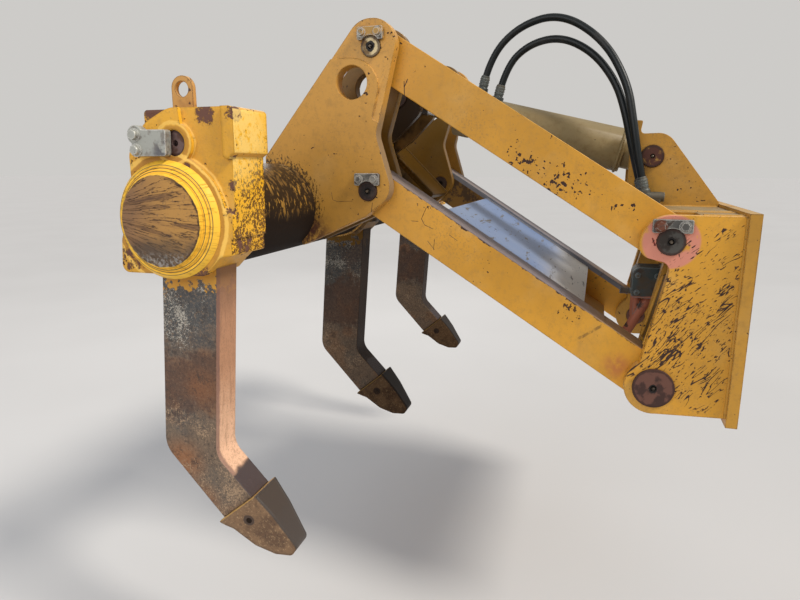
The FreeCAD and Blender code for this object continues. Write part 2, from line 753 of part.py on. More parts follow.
def port_fittings():
    """Ferrules that stand on the barrel, one under each hose."""
    fittings = []
    gland_start = BARREL_END - GLAND_LENGTH - WELD_GAP
    below = [turned(BARREL_RADIUS + WELD_GAP, BARREL_START, BARREL_END),
             turned(GLAND_RADIUS + WELD_GAP, gland_start, BARREL_END)]
    for route, length in ((ROD_SIDE_HOSE, 70), (BASE_SIDE_HOSE, 50)):
        top = Vector(*route[0])
        down = (top - Vector(*route[1])).normalize()
        sleeve = Part.makeCylinder(FERRULE_RADIUS, length, top, down)
        fittings.append(sleeve.cut(below))
    return fittings


def hose(name, route):
    """Tube on straight runs joined by tangent arcs, each as large as its runs allow."""
    points = [Vector(*point) for point in route]
    edges = []
    leave = points[0]
    radii = []
    for before, here, after in zip(points, points[1:], points[2:]):
        back = before - here
        ahead = after - here
        reach = ARC_SHARE * min(back.Length, ahead.Length)
        half = back.getAngle(ahead) / 2
        radius = reach * math.tan(half)
        radii.append(round(radius))
        back.normalize()
        ahead.normalize()
        start = here + back * reach
        end = here + ahead * reach
        middle = (back + ahead).normalize()
        nearest = here + middle * (radius / math.sin(half) - radius)
        edges.append(Part.LineSegment(leave, start).toShape())
        edges.append(Part.Arc(start, nearest, end).toShape())
        leave = end
    edges.append(Part.LineSegment(leave, points[-1]).toShape())
    path = Part.Wire(edges)
    ring = Part.makeCircle(HOSE_RADIUS, points[0], points[1] - points[0])
    solid = path.makePipeShell([Part.Wire(ring)], True, False)
    expected = math.pi * HOSE_RADIUS ** 2 * path.Length
    print(name, "length", round(path.Length), "bend radii", radii,
          "volume ratio", round(solid.Volume / expected, 4))
    save(name, solid)


def cylinder():
    half = CYLINDER_EYE_WIDTH / 2
    save("lift_cylinder_barrel", barrel())
    save("lift_cylinder_rod", rod())
    save("rod_pin_centre", bar(PIN_P, CYLINDER_PIN_RADIUS, -half, half))
    save("cylinder_port_fittings", *port_fittings())
    hose("hose_rod_side", ROD_SIDE_HOSE)
    hose("hose_base_side", BASE_SIDE_HOSE)


bracket()
links()
beam()
shanks()
cylinder()
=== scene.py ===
"""Looks of a three-shank parallelogram ripper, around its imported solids.

Metres, in the frame of the solids: +X to the right, +Y forward, +Z up, and the origin in the
middle of the bracket's bolting face, which looks forward.
"""
import json
import math

import bmesh
import bpy
from mathutils import Matrix, Vector


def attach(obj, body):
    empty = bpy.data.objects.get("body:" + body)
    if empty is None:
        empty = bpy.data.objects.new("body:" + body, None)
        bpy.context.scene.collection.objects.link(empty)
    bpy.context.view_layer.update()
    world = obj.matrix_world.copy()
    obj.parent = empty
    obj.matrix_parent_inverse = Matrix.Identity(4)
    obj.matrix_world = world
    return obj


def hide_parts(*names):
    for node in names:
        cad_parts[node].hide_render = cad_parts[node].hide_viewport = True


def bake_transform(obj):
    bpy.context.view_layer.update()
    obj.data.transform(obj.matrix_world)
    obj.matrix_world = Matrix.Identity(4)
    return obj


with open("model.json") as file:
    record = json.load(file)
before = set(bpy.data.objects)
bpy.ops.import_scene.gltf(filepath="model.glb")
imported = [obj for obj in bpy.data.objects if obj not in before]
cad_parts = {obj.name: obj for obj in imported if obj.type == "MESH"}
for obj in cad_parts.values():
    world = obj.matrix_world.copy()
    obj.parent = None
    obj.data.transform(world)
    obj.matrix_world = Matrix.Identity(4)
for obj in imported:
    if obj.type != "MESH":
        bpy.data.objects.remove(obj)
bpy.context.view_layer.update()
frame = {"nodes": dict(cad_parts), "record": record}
scene = bpy.context.scene
scene.view_settings.view_transform = "Standard"


# Studio: a plain pale floor half a metre under the teeth, a soft sun high in front of the bolting
# plate, two weak softboxes, and a camera standing off the right end of the beam.
class Value:
    """A socket whose number changes over a surface or along a line. Operators add Math nodes."""

    def __init__(self, graph, socket):
        self.graph = graph
        self.socket = socket

    def __add__(self, other):
        return self.graph.math("ADD", self, other)

    def __sub__(self, other):
        return self.graph.math("SUBTRACT", self, other)

    def __rsub__(self, other):
        return self.graph.math("SUBTRACT", other, self)

    def __mul__(self, other):
        return self.graph.math("MULTIPLY", self, other)

    def __truediv__(self, other):
        return self.graph.math("DIVIDE", self, other)

    def __abs__(self):
        return self.graph.math("ABSOLUTE", self)

    __radd__ = __add__
    __rmul__ = __mul__


class Graph:
    """A node tree, for a material or for geometry."""

    def __init__(self, tree):
        self.tree = tree

    def node(self, kind, settings=None, inputs=None, output=0):
        """Add a node, with its settings first and then its sockets, and give one output."""
        made = self.tree.nodes.new(kind)
        for name, setting in (settings or {}).items():
            setattr(made, name, setting)
        for name, given in (inputs or {}).items():
            socket = made.inputs[name]
            if isinstance(given, list):
                for each in given:
                    self.tree.links.new(each.socket, socket)
            elif isinstance(given, Value):
                self.tree.links.new(given.socket, socket)
            elif socket.type == "RGBA":
                socket.default_value = (*given, 1.0)
            else:
                socket.default_value = given
        return Value(self, made.outputs[output])

    def math(self, operation, *terms):
        """Add a Math node over values or numbers."""
        return self.node("ShaderNodeMath", {"operation": operation}, dict(enumerate(terms)))


class Finish(Graph):
    """A bare surface on Object coordinates, and the layers laid over it."""

    def __init__(self, name, colour, roughness, metallic=0.0, shine=0.5):
        self.material = bpy.data.materials.new(name)
        self.material.use_nodes = True
        super().__init__(self.material.node_tree)
        self.shader = self.tree.nodes["Principled BSDF"]
        self.shader.inputs["Specular IOR Level"].default_value = shine
        self.place = self.node("ShaderNodeTexCoord", output="Object")
        self.colour = colour
        self.roughness = roughness
        self.metallic = metallic
        self.relief = 1.0
        self.softness = 0.0

    def grain(self, scale, detail=3.0, stretch=(1.0, 1.0, 1.0), seed=0.0, rough=0.55, turn=0.0):
        """Noise around one half. A stretch above 1 along an axis makes it finer there, once the
        surface is turned by an angle about X."""
        turned = self.place
        if turn:
            turned = self.node("ShaderNodeVectorRotate", {"rotation_type": "X_AXIS"}, {
                "Vector": self.place, "Angle": turn})
        moved = self.node("ShaderNodeMapping", {}, {
            "Vector": turned, "Location": (seed, 1.7 * seed, -seed), "Scale": stretch})
        return self.node("ShaderNodeTexNoise", {}, {
            "Vector": moved, "Scale": scale, "Detail": detail, "Roughness": rough})

    def over(self, value, low, high):
        """0 below low and 1 above high, with a smooth rise between."""
        return self.node("ShaderNodeMapRange", {"interpolation_type": "SMOOTHSTEP"}, {
            "Value": value, "From Min": low, "From Max": high})

    def under(self, value, low, high):
        """1 below low and 0 above high."""
        return 1.0 - self.over(value, low, high)

    def patches(self, low, high, scale, **noise):
        """1 where the grain passes high, and 0 where it stays below low."""
        return self.over(self.grain(scale, **noise), low, high)

    def mix(self, mask, below, above):
        """A colour that changes from one to another where the mask is 1."""
        return self.node("ShaderNodeMix", {"data_type": "RGBA"}, {
            "Factor": mask, 6: below, 7: above}, output=2)

    def along(self, axis):
        """Object coordinate along X, Y or Z."""
        return self.node("ShaderNodeSeparateXYZ", {}, {"Vector": self.place}, output=axis)

    def facing(self, axis, soft=0.0):
        """How far the surface faces along +X, +Y or +Z, from -1 to 1. Soft blurs it over edges."""
        normal = self.node("ShaderNodeTexCoord", output="Normal")
        if soft:
            bent = self.node("ShaderNodeBevel", {"samples": 8}, {"Radius": soft})
            normal = self.node("ShaderNodeVectorTransform", {
                "vector_type": "NORMAL", "convert_from": "WORLD", "convert_to": "OBJECT"}, {
                "Vector": bent})
        return self.node("ShaderNodeSeparateXYZ", {}, {"Vector": normal}, output=axis)

    def near(self, spot, radius, soft):
        """1 inside a ball about a spot, and 0 past its soft rim."""
        away = self.node("ShaderNodeVectorMath", {"operation": "DISTANCE"}, {
            0: self.place, 1: spot}, output="Value")
        return self.under(away, radius - soft, radius + soft)

    def from_axis(self, axis_point):
        """Distance from a line along X through a side view point (y, z)."""
        across = self.along("Y") - axis_point[0]
        up = self.along("Z") - axis_point[1]
        return self.math("SQRT", across * across + up * up)

    def stroke(self, start, end, width):
        """1 on a ragged line between two side view points (y, z)."""
        run_y = end[0] - start[0]
        run_z = end[1] - start[1]
        reach = math.hypot(run_y, run_z)
        across = self.along("Y") - start[0]
        up = self.along("Z") - start[1]
        travel = across * (run_y / reach) + up * (run_z / reach)
        aside = abs(up * (run_y / reach) - across * (run_z / reach))
        past = self.math("MAXIMUM", abs(travel - reach / 2) - reach / 2, 0.0)
        return self.under(aside + past + self.grain(90.0) * width, width, 1.4 * width)

    def line(self, field, level, width):
        """1 on the thin curve where a field passes a level."""
        return self.under(abs(field - level), width, 2.2 * width)

    def edges(self, radius):
        """Above 0 where the surface turns sharply within a radius."""
        bent = self.node("ShaderNodeBevel", {"samples": 4}, {"Radius": radius})
        plain = self.node("ShaderNodeNewGeometry", output="Normal")
        return 1.0 - self.node("ShaderNodeVectorMath", {"operation": "DOT_PRODUCT"}, {
            0: bent, 1: plain}, output="Value")

    def layer(self, mask, colour, roughness=None, metallic=None, sink=0.0):
        """Lay a colour over what is there where the mask is 1. Sink lowers it."""
        self.colour = self.mix(mask, self.colour, colour)
        if roughness is not None:
            self.roughness = self.roughness + (roughness - self.roughness) * mask
        if metallic is not None:
            self.metallic = self.metallic + (metallic - self.metallic) * mask
        if sink:
            self.relief = self.relief - mask * sink

    def close(self, depth=0.001):
        """Join the finished colour, roughness, metal and relief to the shader."""
        joins = {"Base Color": self.colour, "Roughness": self.roughness,
                 "Metallic": self.metallic}
        bumps = {"Height": self.relief, "Distance": depth}
        if self.softness:
            bumps["Normal"] = self.node("ShaderNodeBevel", {"samples": 6}, {
                "Radius": self.softness})
        if isinstance(self.relief, Value):
            joins["Normal"] = self.node("ShaderNodeBump", {}, bumps)
        for name, value in joins.items():
            socket = self.shader.inputs[name]
            if isinstance(value, Value):
                self.tree.links.new(value.socket, socket)
            else:
                socket.default_value = value
        return self.material


SHARP_ANGLE = math.radians(35.0)


def mesh_object(name, shape):
    """Finish a bmesh as a mesh object at the origin, smooth except at sharp edges."""
    mesh = bpy.data.meshes.new(name)
    shape.to_mesh(mesh)
    shape.free()
    mesh.shade_smooth()
    mesh.set_sharp_from_angle(angle=SHARP_ANGLE)
    made = bpy.data.objects.new(name, mesh)
    scene.collection.objects.link(made)
    return made


FLOOR_HEIGHT = -1.12
FLOOR_REACH = 90.0
FLOOR_COLOUR = (0.54, 0.53, 0.52)
FLOOR_FADED = (0.56, 0.55, 0.54)
floor_finish = Finish("pale_floor", FLOOR_COLOUR, 0.9)
floor_finish.layer(floor_finish.patches(0.2, 0.8, 0.8, detail=2.0), FLOOR_FADED)
floor_shape = bmesh.new()
bmesh.ops.create_grid(floor_shape, x_segments=4, y_segments=4, size=FLOOR_REACH,
                      matrix=Matrix.Translation((0, 0, FLOOR_HEIGHT)))
floor = mesh_object("floor", floor_shape)
floor.data.materials.append(floor_finish.close())

SKY_LIGHT = (0.48, 0.50, 0.54)
SKY_SEEN = (0.61, 0.598, 0.578)
world = bpy.data.worlds.new("studio")
world.use_nodes = True
scene.world = world
studio = Graph(world.node_tree)
seen = 0.0
for ray in ("Is Camera Ray", "Is Glossy Ray", "Is Transmission Ray"):
    seen = studio.math("MAXIMUM", studio.node("ShaderNodeLightPath", output=ray), seen)
sky = studio.node("ShaderNodeMix", {"data_type": "RGBA"}, {
    "Factor": seen, 6: SKY_LIGHT, 7: SKY_SEEN}, output=2)
world.node_tree.links.new(sky.socket, world.node_tree.nodes["Background"].inputs["Color"])
OBJECT_MIDDLE = Vector((0.0, -0.9, 0.1))


def aimed_object(name, data, place, direction):
    """Lamp or camera at a place, looking in a direction."""
    stand = bpy.data.objects.new(name, data)
    stand.location = place
    stand.rotation_mode = "QUATERNION"
    stand.rotation_quaternion = direction.to_track_quat("-Z", "Y")
    scene.collection.objects.link(stand)
    return stand


def softbox(name, place, size, watts, colour):
    """Square lamp turned to the middle of the object."""
    lamp = bpy.data.lights.new(name, "AREA")
    lamp.size = size
    lamp.energy = watts
    lamp.color = colour
    aimed_object(name, lamp, place, OBJECT_MIDDLE - Vector(place))


softbox("fill_softbox", (5.0, -2.6, 2.6), 3.0, 80.0, (0.95, 0.97, 1.0))
softbox("back_softbox", (-4.5, -3.0, 3.5), 3.0, 60.0, (1.0, 0.98, 0.95))
SUN_DIRECTION = Vector((-0.25, -1.0, -1.05))
sun_lamp = bpy.data.lights.new("soft_sun", "SUN")
sun_lamp.energy = 2.7
sun_lamp.angle = math.radians(14.0)
sun_lamp.color = (1.0, 0.95, 0.87)
aimed_object("soft_sun", sun_lamp, (0, 0, 0), SUN_DIRECTION)

CAMERA_PLACE = (2.3232, -0.4021, 0.4076)
CAMERA_YAW = math.radians(17.547)
CAMERA_PITCH = math.radians(12.228)
FOCAL_PIXELS = 616.4
FRAME_PIXELS = 800
camera_data = bpy.data.cameras.new("camera")
camera_data.sensor_width = 36.0
camera_data.lens = FOCAL_PIXELS / FRAME_PIXELS * camera_data.sensor_width
camera_data.clip_start = 0.05
look = Vector((-math.cos(CAMERA_PITCH) * math.cos(CAMERA_YAW),
               -math.cos(CAMERA_PITCH) * math.sin(CAMERA_YAW), -math.sin(CAMERA_PITCH)))
scene.camera = aimed_object("camera", camera_data, CAMERA_PLACE, look)


# Mount bracket: flame-cut steel plates, 25 to 40 mm thick, welded to a bolting plate and sprayed
# yellow. The ears are scratched at their lower ends and chipped along their edges.
BODY_OF = {}
for body, members in frame["record"]["behaviour"]["bodies"].items():
    BODY_OF.update(dict.fromkeys(members, body))
PAINT = (0.72, 0.345, 0.034)
# Yellow as if in full light, laid on as painted light.
PAINT_LIT = (0.90, 0.44, 0.04)
PAINT_FADED = (0.64, 0.39, 0.13)
PAINT_DUSTY = (0.36, 0.19, 0.045)
GRIME = (0.22, 0.13, 0.055)
CHIP = (0.045, 0.020, 0.014)
DUST = (0.62, 0.49, 0.28)
PRIMER = (0.66, 0.25, 0.17)
BRACKET_PIN = (-0.207, 0.211)
INNER_FACE = 0.355
SLOT_FACES = (0.395, 0.505)
OUTER_FACE = 0.545
TOWER_FACES = (0.085, 0.115)
CUT_EDGE = 0.003
WIDE_EDGE = 0.0045
FLAT = math.radians(0.5)
ROUNDED_ANGLE = math.radians(40.0)


def merged(node, joined):
    """A solid's mesh with its loose triangles joined and flat faces made whole."""
    shape = bmesh.new()
    shape.from_mesh(frame["nodes"][node].data)
    bmesh.ops.remove_doubles(shape, verts=shape.verts, dist=joined)
    bmesh.ops.dissolve_limit(shape, angle_limit=FLAT, verts=shape.verts, edges=shape.edges)
    return shape


def evaluated_mesh(source):
    """Plain mesh of an object with its modifiers and bevel carried out."""
    bpy.context.view_layer.update()
    seen_now = source.evaluated_get(bpy.context.evaluated_depsgraph_get())
    return bpy.data.meshes.new_from_object(seen_now)


def dress(material, *nodes, edge=0.0025, joined=1e-5):
    """Copies of solids with rounded edges and a finish, each moving with its solid's body. Points
    closer than the joined distance become one."""
    for node in nodes:
        piece = mesh_object(node + "_skin", merged(node, joined))
        rounding = piece.modifiers.new("rounded_edges", "BEVEL")
        rounding.width = edge
        rounding.segments = 4 if edge > WIDE_EDGE else 2
        rounding.limit_method = "ANGLE"
        rounding.angle_limit = ROUNDED_ANGLE
        rounding.harden_normals = True
        piece.data.materials.append(material)
        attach(piece, BODY_OF[node])
        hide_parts(node)


def pair(name):
    """The right and left solids of a name."""
    return [name + "_right", name + "_left"]


class Growth(Graph):
    """A Geometry Nodes tree with named inputs that grows small pieces on a guide mesh."""

    def __init__(self, name, **numbers):
        super().__init__(bpy.data.node_groups.new(name, "GeometryNodeTree"))
        sockets = self.tree.interface
        sockets.new_socket("Grown", in_out="OUTPUT", socket_type="NodeSocketGeometry")
        sockets.new_socket("Guide", in_out="INPUT", socket_type="NodeSocketGeometry")
        sockets.new_socket("Finish", in_out="INPUT", socket_type="NodeSocketMaterial")
        for label, usual in numbers.items():
            made = sockets.new_socket(label, in_out="INPUT", socket_type="NodeSocketFloat")
            made.default_value = usual
        self.entry = self.tree.nodes.new("NodeGroupInput")

    def given(self, label):
        """The value of an input of the tree."""
        return Value(self, self.entry.outputs[label])

    def up(self, height):
        """Point on the Z axis."""
        return self.node("ShaderNodeCombineXYZ", {}, {"Z": height})

    def bar(self, sides, radius, low, high, bevel=0.0):
        """Upright bar between two heights, with its top edge drawn in by a share of its radius."""
        line = self.node("GeometryNodeCurvePrimitiveLine", {}, {
            "Start": self.up(low), "End": self.up(high)})
        line = self.node("GeometryNodeResampleCurve", {}, {"Curve": line, "Count": 6})
        at_top = self.math("GREATER_THAN", self.node("GeometryNodeSplineParameter"), 0.9)
        ring = self.node("GeometryNodeCurvePrimitiveCircle", {}, {
            "Resolution": sides, "Radius": radius})
        return self.node("GeometryNodeCurveToMesh", {}, {
            "Curve": line, "Profile Curve": ring, "Scale": 1.0 - at_top * bevel,
            "Fill Caps": True})

    def stand(self, *bars):
        """Put a copy of the bars on each guide point, along its aim, each turned a little
        further than the last."""
        unit = self.node("GeometryNodeJoinGeometry", {}, {"Geometry": list(bars)})
        aim = self.node("GeometryNodeInputNamedAttribute", {"data_type": "FLOAT_VECTOR"}, {
            "Name": "aim"})
        upright = self.node("FunctionNodeAlignRotationToVector", {"axis": "Z"}, {"Vector": aim})
        angle = self.node("GeometryNodeInputIndex") * 0.7
        spin = self.node("FunctionNodeAxisAngleToRotation", {}, {"Axis": (0, 0, 1), "Angle": angle})
        turned = self.node("FunctionNodeRotateRotation", {"rotation_space": "LOCAL"}, {
            "Rotation": upright, "Rotate By": spin})
        self.end(self.node("GeometryNodeInstanceOnPoints", {}, {
            "Points": self.given("Guide"), "Instance": unit, "Rotation": turned}))

    def end(self, grown):
        """Close the tree with plain geometry in the given finish."""
        solid = self.node("GeometryNodeRealizeInstances", {}, {"Geometry": grown})
        done = self.node("GeometryNodeSetMaterial", {}, {
            "Geometry": solid, "Material": self.given("Finish")})
        leave = self.tree.nodes.new("NodeGroupOutput")
        self.tree.links.new(done.socket, leave.inputs["Grown"])

    def grow(self, name, guide, node, **given):
        """Run the tree on a guide. What grows is a plain mesh that moves with a solid's body."""
        holder = bpy.data.objects.new(name + "_guide", guide)
        scene.collection.objects.link(holder)
        modifier = holder.modifiers.new("growth", "NODES")
        modifier.node_group = self.tree
        for item in self.tree.interface.items_tree:
            if item.in_out == "INPUT" and item.name in given:
                modifier[item.identifier] = given[item.name]
        mesh = evaluated_mesh(holder)
        bpy.data.objects.remove(holder)
        made = bpy.data.objects.new(name, mesh)
        scene.collection.objects.link(made)
        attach(made, BODY_OF[node])


def wires(lines):
    """Guide of several polylines. A line whose last point is its first is closed."""
    points = []
    edges = []
    for line in lines:
        first = len(points)
        closed = line[0] == line[-1]
        points += line[:-1] if closed else line
        edges += [(index, index + 1) for index in range(first, len(points) - 1)]
        if closed:
            edges.append((len(points) - 1, first))
    guide = bpy.data.meshes.new("guide_lines")
    guide.from_pydata(points, edges, [])
    return guide


def both_sides(lines):
    """Lines of points (x, y, z) and their mirror images."""
    return lines + [[(-x, y, z) for x, y, z in line] for line in lines]


def aimed(spots):
    """Guide of single points, each (place, aim)."""
    guide = bpy.data.meshes.new("guide_points")
    guide.from_pydata([place for place, aim in spots], [], [])
    aims = guide.attributes.new("aim", "FLOAT_VECTOR", "POINT")
    for item, (place, aim) in zip(aims.data, spots):
        item.vector = aim
    return guide


def on_both_ends(x, side_points):
    """Spots on the faces at x and -x, aimed outward."""
    return [((end * x, *point), (end, 0, 0)) for end in (1, -1) for point in side_points]


weld = Growth("weld_bead", Bead=0.005, Ripple=0.008)
run = weld.node("GeometryNodeMeshToCurve", {}, {"Mesh": weld.given("Guide")})
run = weld.node("GeometryNodeResampleCurve", {"mode": "LENGTH"}, {
    "Curve": run, "Length": weld.given("Ripple") / 3.0})
travel = weld.node("GeometryNodeSplineParameter", output="Length")
ripples = weld.math("SINE", travel * (2.0 * math.pi) / weld.given("Ripple"))
lumps = weld.node("ShaderNodeTexNoise", {}, {"Scale": 70.0, "Detail": 2.0})
bead = weld.node("GeometryNodeCurveToMesh", {}, {
    "Curve": run, "Fill Caps": True, "Scale": 0.8 + ripples * 0.09 + lumps * 0.4,
    "Profile Curve": weld.node("GeometryNodeCurvePrimitiveCircle", {}, {
        "Resolution": 8, "Radius": weld.given("Bead")})})
weld.end(weld.node("GeometryNodeSetShadeSmooth", {}, {"Geometry": bead}))


def shaded(colour, light):
    """A colour with a share of its light."""
    return tuple(part * light for part in colour)


def worn_paint(name, seed, chipping=0.0, spots=(), dirt=0.35, base=PAINT, dust=0.55, rubbing=1.0,
               shine=0.32):
    """Old yellow paint. Chips gather about each spot, which is (place, radius, strength)."""
    coat = Finish(name, base, 0.42, shine=shine)
    # Light is the base's share of PAINT's lightness. The faded, dusty, dirt and dust colours are
    # scaled by it, so a base darkened as painted shade darkens them too.
    light = min(1.0, base[0] / PAINT[0])
    coat.layer(coat.patches(0.40, 0.66, 1.8, detail=4.0, seed=seed), shaded(base, 0.76))
    coat.layer(coat.patches(0.50, 0.74, 6.0, detail=6.0, seed=seed + 5.0) * 0.4,
               shaded(PAINT_FADED, light), roughness=0.6)
    coat.layer(coat.patches(0.46, 0.70, 38.0, detail=7.0, seed=seed + 3.0, rough=0.75) * 0.40,
               shaded(PAINT_DUSTY, light))
    dirty = coat.patches(0.53, 0.76, 3.2, detail=8.0, stretch=(1.0, 1.0, 0.45), seed=seed + 9.0,
                         rough=0.72)
    coat.layer(dirty * dirt, shaded(GRIME, light), roughness=0.7)
    soot = coat.grain(150.0, seed=seed + 8.0) + (coat.grain(4.0, seed=seed + 6.0) - 0.5) * 0.5
    coat.layer(coat.over(soot, 0.60, 0.72) * 0.30, GRIME)
    settled = coat.over(coat.facing("Z"), 0.55, 0.95)
    settled = settled * coat.patches(0.36, 0.62, 9.0, detail=6.0, seed=seed + 1.0)
    coat.layer(settled * dust, shaded(DUST, light), roughness=0.85)
    level = coat.grain(75.0, detail=2.0, seed=seed + 2.0) + chipping
    level = level + (coat.grain(5.0, detail=2.0, seed=seed + 4.0) - 0.5) * 0.45
    for place, radius, strength in spots:
        level = level + coat.near(place, radius, radius * 0.7) * strength
    coat.layer(coat.over(level, 0.735, 0.76), CHIP, roughness=0.75, sink=0.7)
    rubbed = coat.edges(0.006) * (coat.grain(32.0, detail=5.0, seed=seed + 7.0) - 0.32)
    coat.layer(coat.over(rubbed * rubbing, 0.020, 0.034), CHIP, roughness=0.6, sink=0.5)
    return coat


def scratches(coat, place, radius, turn, amount):
    """Fine curved scratches and flecks down to dark steel about a place, along a slope."""
    worn = coat.near(place, radius, radius * 0.9) * amount
    for seed, scale in ((3.0, 15.0), (9.0, 24.0), (16.0, 34.0)):
        swirl = coat.grain(scale, detail=2.0, stretch=(1.0, 0.26, 1.5), seed=seed, turn=turn)
        present = coat.over(coat.grain(15.0, seed=seed + 2.0) + worn, 0.64, 0.68)
        coat.layer(coat.line(swirl, 0.5, 0.008) * present, CHIP, roughness=0.6, sink=0.5)
    flecks = coat.grain(130.0, stretch=(1.0, 0.42, 1.5), seed=11.0, turn=turn)
    coat.layer(coat.over(flecks + worn * 0.8, 0.73, 0.76), CHIP, roughness=0.6, sink=0.5)


ear_paint = worn_paint("bracket_paint", 1.0, spots=(((OUTER_FACE, -0.348, 0.294), 0.02, 0.4),))
# Painted light: a lighter patch over the outer ear's upper part.
ear_paint.layer(ear_paint.near((OUTER_FACE, -0.11, 0.19), 0.17, 0.10) * 0.2, PAINT_LIT)
primer = ear_paint.near((OUTER_FACE, *BRACKET_PIN), 0.072, 0.004)
ear_paint.layer(primer * ear_paint.patches(0.33, 0.42, 18.0, detail=5.0), PRIMER, roughness=0.7)
ear_paint.layer(ear_paint.stroke((-0.254, 0.219), (-0.246, 0.200), 0.003), (0.22, 0.03, 0.02))
scratches(ear_paint, (OUTER_FACE, -0.16, -0.05), 0.16, math.radians(-52.0), 0.18)
scratches(ear_paint, (OUTER_FACE, -0.09, 0.10), 0.14, math.radians(-40.0), 0.13)
dress(ear_paint.close(), *pair("bracket_outer_ear"), edge=CUT_EDGE)
inner_paint = worn_paint("bracket_inner_paint", 4.0, chipping=0.02, dirt=0.7,
                         base=(0.54, 0.27, 0.036)).close()
dress(inner_paint, *pair("bracket_inner_ear"), *pair("cylinder_tower_ear"), edge=CUT_EDGE)
dress(inner_paint, "mounting_plate")
# The top plate's yellow is darkened as painted shadow, with more dust settled on it.
top_shadow_paint = worn_paint("bracket_top_paint", 6.0, dirt=0.9, base=(0.36, 0.205, 0.060), dust=0.8)
dress(top_shadow_paint.close(), "bracket_top_plate")
# The bracket's side webs are painted near black as painted shade.
web_shade_paint = worn_paint("bracket_web_paint", 5.0, dirt=0.9, base=(0.10, 0.050, 0.010))
dress(web_shade_paint.close(), "bracket_side_webs")
oily = Finish("oily_plate", (0.055, 0.035, 0.024), 0.45, shine=0.15)
oily.layer(oily.patches(0.42, 0.62, 4.0, detail=7.0), (0.115, 0.062, 0.028), roughness=0.3)
oily.layer(oily.patches(0.58, 0.68, 12.0, detail=6.0, seed=4.0), (0.30, 0.16, 0.04))
dress(oily.close(), "bracket_rear_plate")

EAR_FACES = (INNER_FACE, *SLOT_FACES, OUTER_FACE)
BOLTING_SEAM = -0.030
TOP_SEAM = 0.279
REAR_SEAM = -0.150
bracket_lines = [[(x, BOLTING_SEAM, -0.268), (x, BOLTING_SEAM, TOP_SEAM)] for x in EAR_FACES]
bracket_lines += [[(x, -0.306, TOP_SEAM), (x, -0.032, TOP_SEAM)]
                  for x in (INNER_FACE, *TOWER_FACES)]
bracket_lines += [[(x, -0.130, TOP_SEAM), (x, -0.032, TOP_SEAM)] for x in SLOT_FACES]
bracket_lines += [[(INNER_FACE, REAR_SEAM, -0.262), (INNER_FACE, REAR_SEAM, 0.248)]]
bracket_lines += [[(x, -0.249, -0.088), (x, -0.203, 0.096)] for x in SLOT_FACES]
weld.grow("bracket_welds", wires(both_sides(bracket_lines)), "mounting_plate", Finish=inner_paint)


# Links: welded steel box arms, a pair on each level, sprayed yellow. The lower pair is one box with
# a bare deck, and stones and chains have rubbed its top edges bare.
LINK_ANGLE = math.radians(32.3)
LOWER_BRACKET_PIN = (-0.219, -0.200)
LINK_OUTSIDE = 0.5
LINK_INSIDE = 0.4


def cracks(coat, width, *lines):
    """Dark cracks along side view lines."""
    for line in lines:
        for start, finish in zip(line, line[1:]):
            coat.layer(coat.stroke(start, finish, width), CHIP, sink=0.8)


upper_paint = worn_paint("upper_link_paint", 7.0, chipping=-0.045, spots=(
    ((LINK_OUTSIDE, -0.64, 0.44), 0.07, 0.07),
    ((LINK_OUTSIDE, -0.53, 0.385), 0.09, 0.12),
    ((LINK_OUTSIDE, -0.42, 0.335), 0.09, 0.09),
    ((LINK_OUTSIDE, -0.347, 0.294), 0.015, 0.30),
    ((LINK_OUTSIDE, -0.314, 0.305), 0.018, 0.15),
))
cracks(upper_paint, 0.0016, ((-0.963, 0.545), (-0.966, 0.652)), ((-0.966, 0.635), (-0.955, 0.658)))
dress(upper_paint.close(), "upper_link_right", edge=CUT_EDGE)
far_paint = worn_paint("upper_link_far_paint", 12.0, dirt=0.6)
far_paint.layer(far_paint.patches(0.35, 0.7, 2.5, detail=5.0) * 0.55, (0.20, 0.17, 0.12),
                roughness=0.75)
dress(far_paint.close(), "upper_link_left", edge=CUT_EDGE)

arm = worn_paint("lower_arm_paint", 15.0, chipping=-0.02, spots=(
    ((LINK_OUTSIDE, -0.90, 0.25), 0.05, 0.06),
    ((LINK_OUTSIDE, -0.905, 0.285), 0.022, 0.18),
    ((LINK_OUTSIDE, -0.465, -0.010), 0.040, 0.17),
    ((LINK_OUTSIDE, -0.70, 0.124), 0.035, 0.11),
))
from_pin = arm.along("Y") - LOWER_BRACKET_PIN[0]
above_pin = arm.along("Z") - LOWER_BRACKET_PIN[1]
above_middle = from_pin * math.sin(LINK_ANGLE) + above_pin * math.cos(LINK_ANGLE)
torn = arm.grain(30.0, detail=6.0, seed=2.0, rough=0.7)
arm.layer(arm.over(above_middle + torn * 0.036, 0.0795, 0.0815), CHIP, roughness=0.7, sink=0.7)
arm.layer(arm.over(above_middle + torn * 0.004, 0.0645, 0.0652), (0.20, 0.165, 0.17),
          roughness=0.5)
arm.layer(arm.under(arm.along("Y"), -1.05, -0.70) * 0.22, (0.38, 0.24, 0.10))
# Painted light: the arm's yellow grows lighter towards its bracket end.
arm.layer(arm.over(arm.along("Y"), -0.50, -0.30) * 0.35, PAINT_LIT)
inside = arm.under(abs(arm.along("X")), LINK_INSIDE + 0.001, LINK_INSIDE + 0.003)
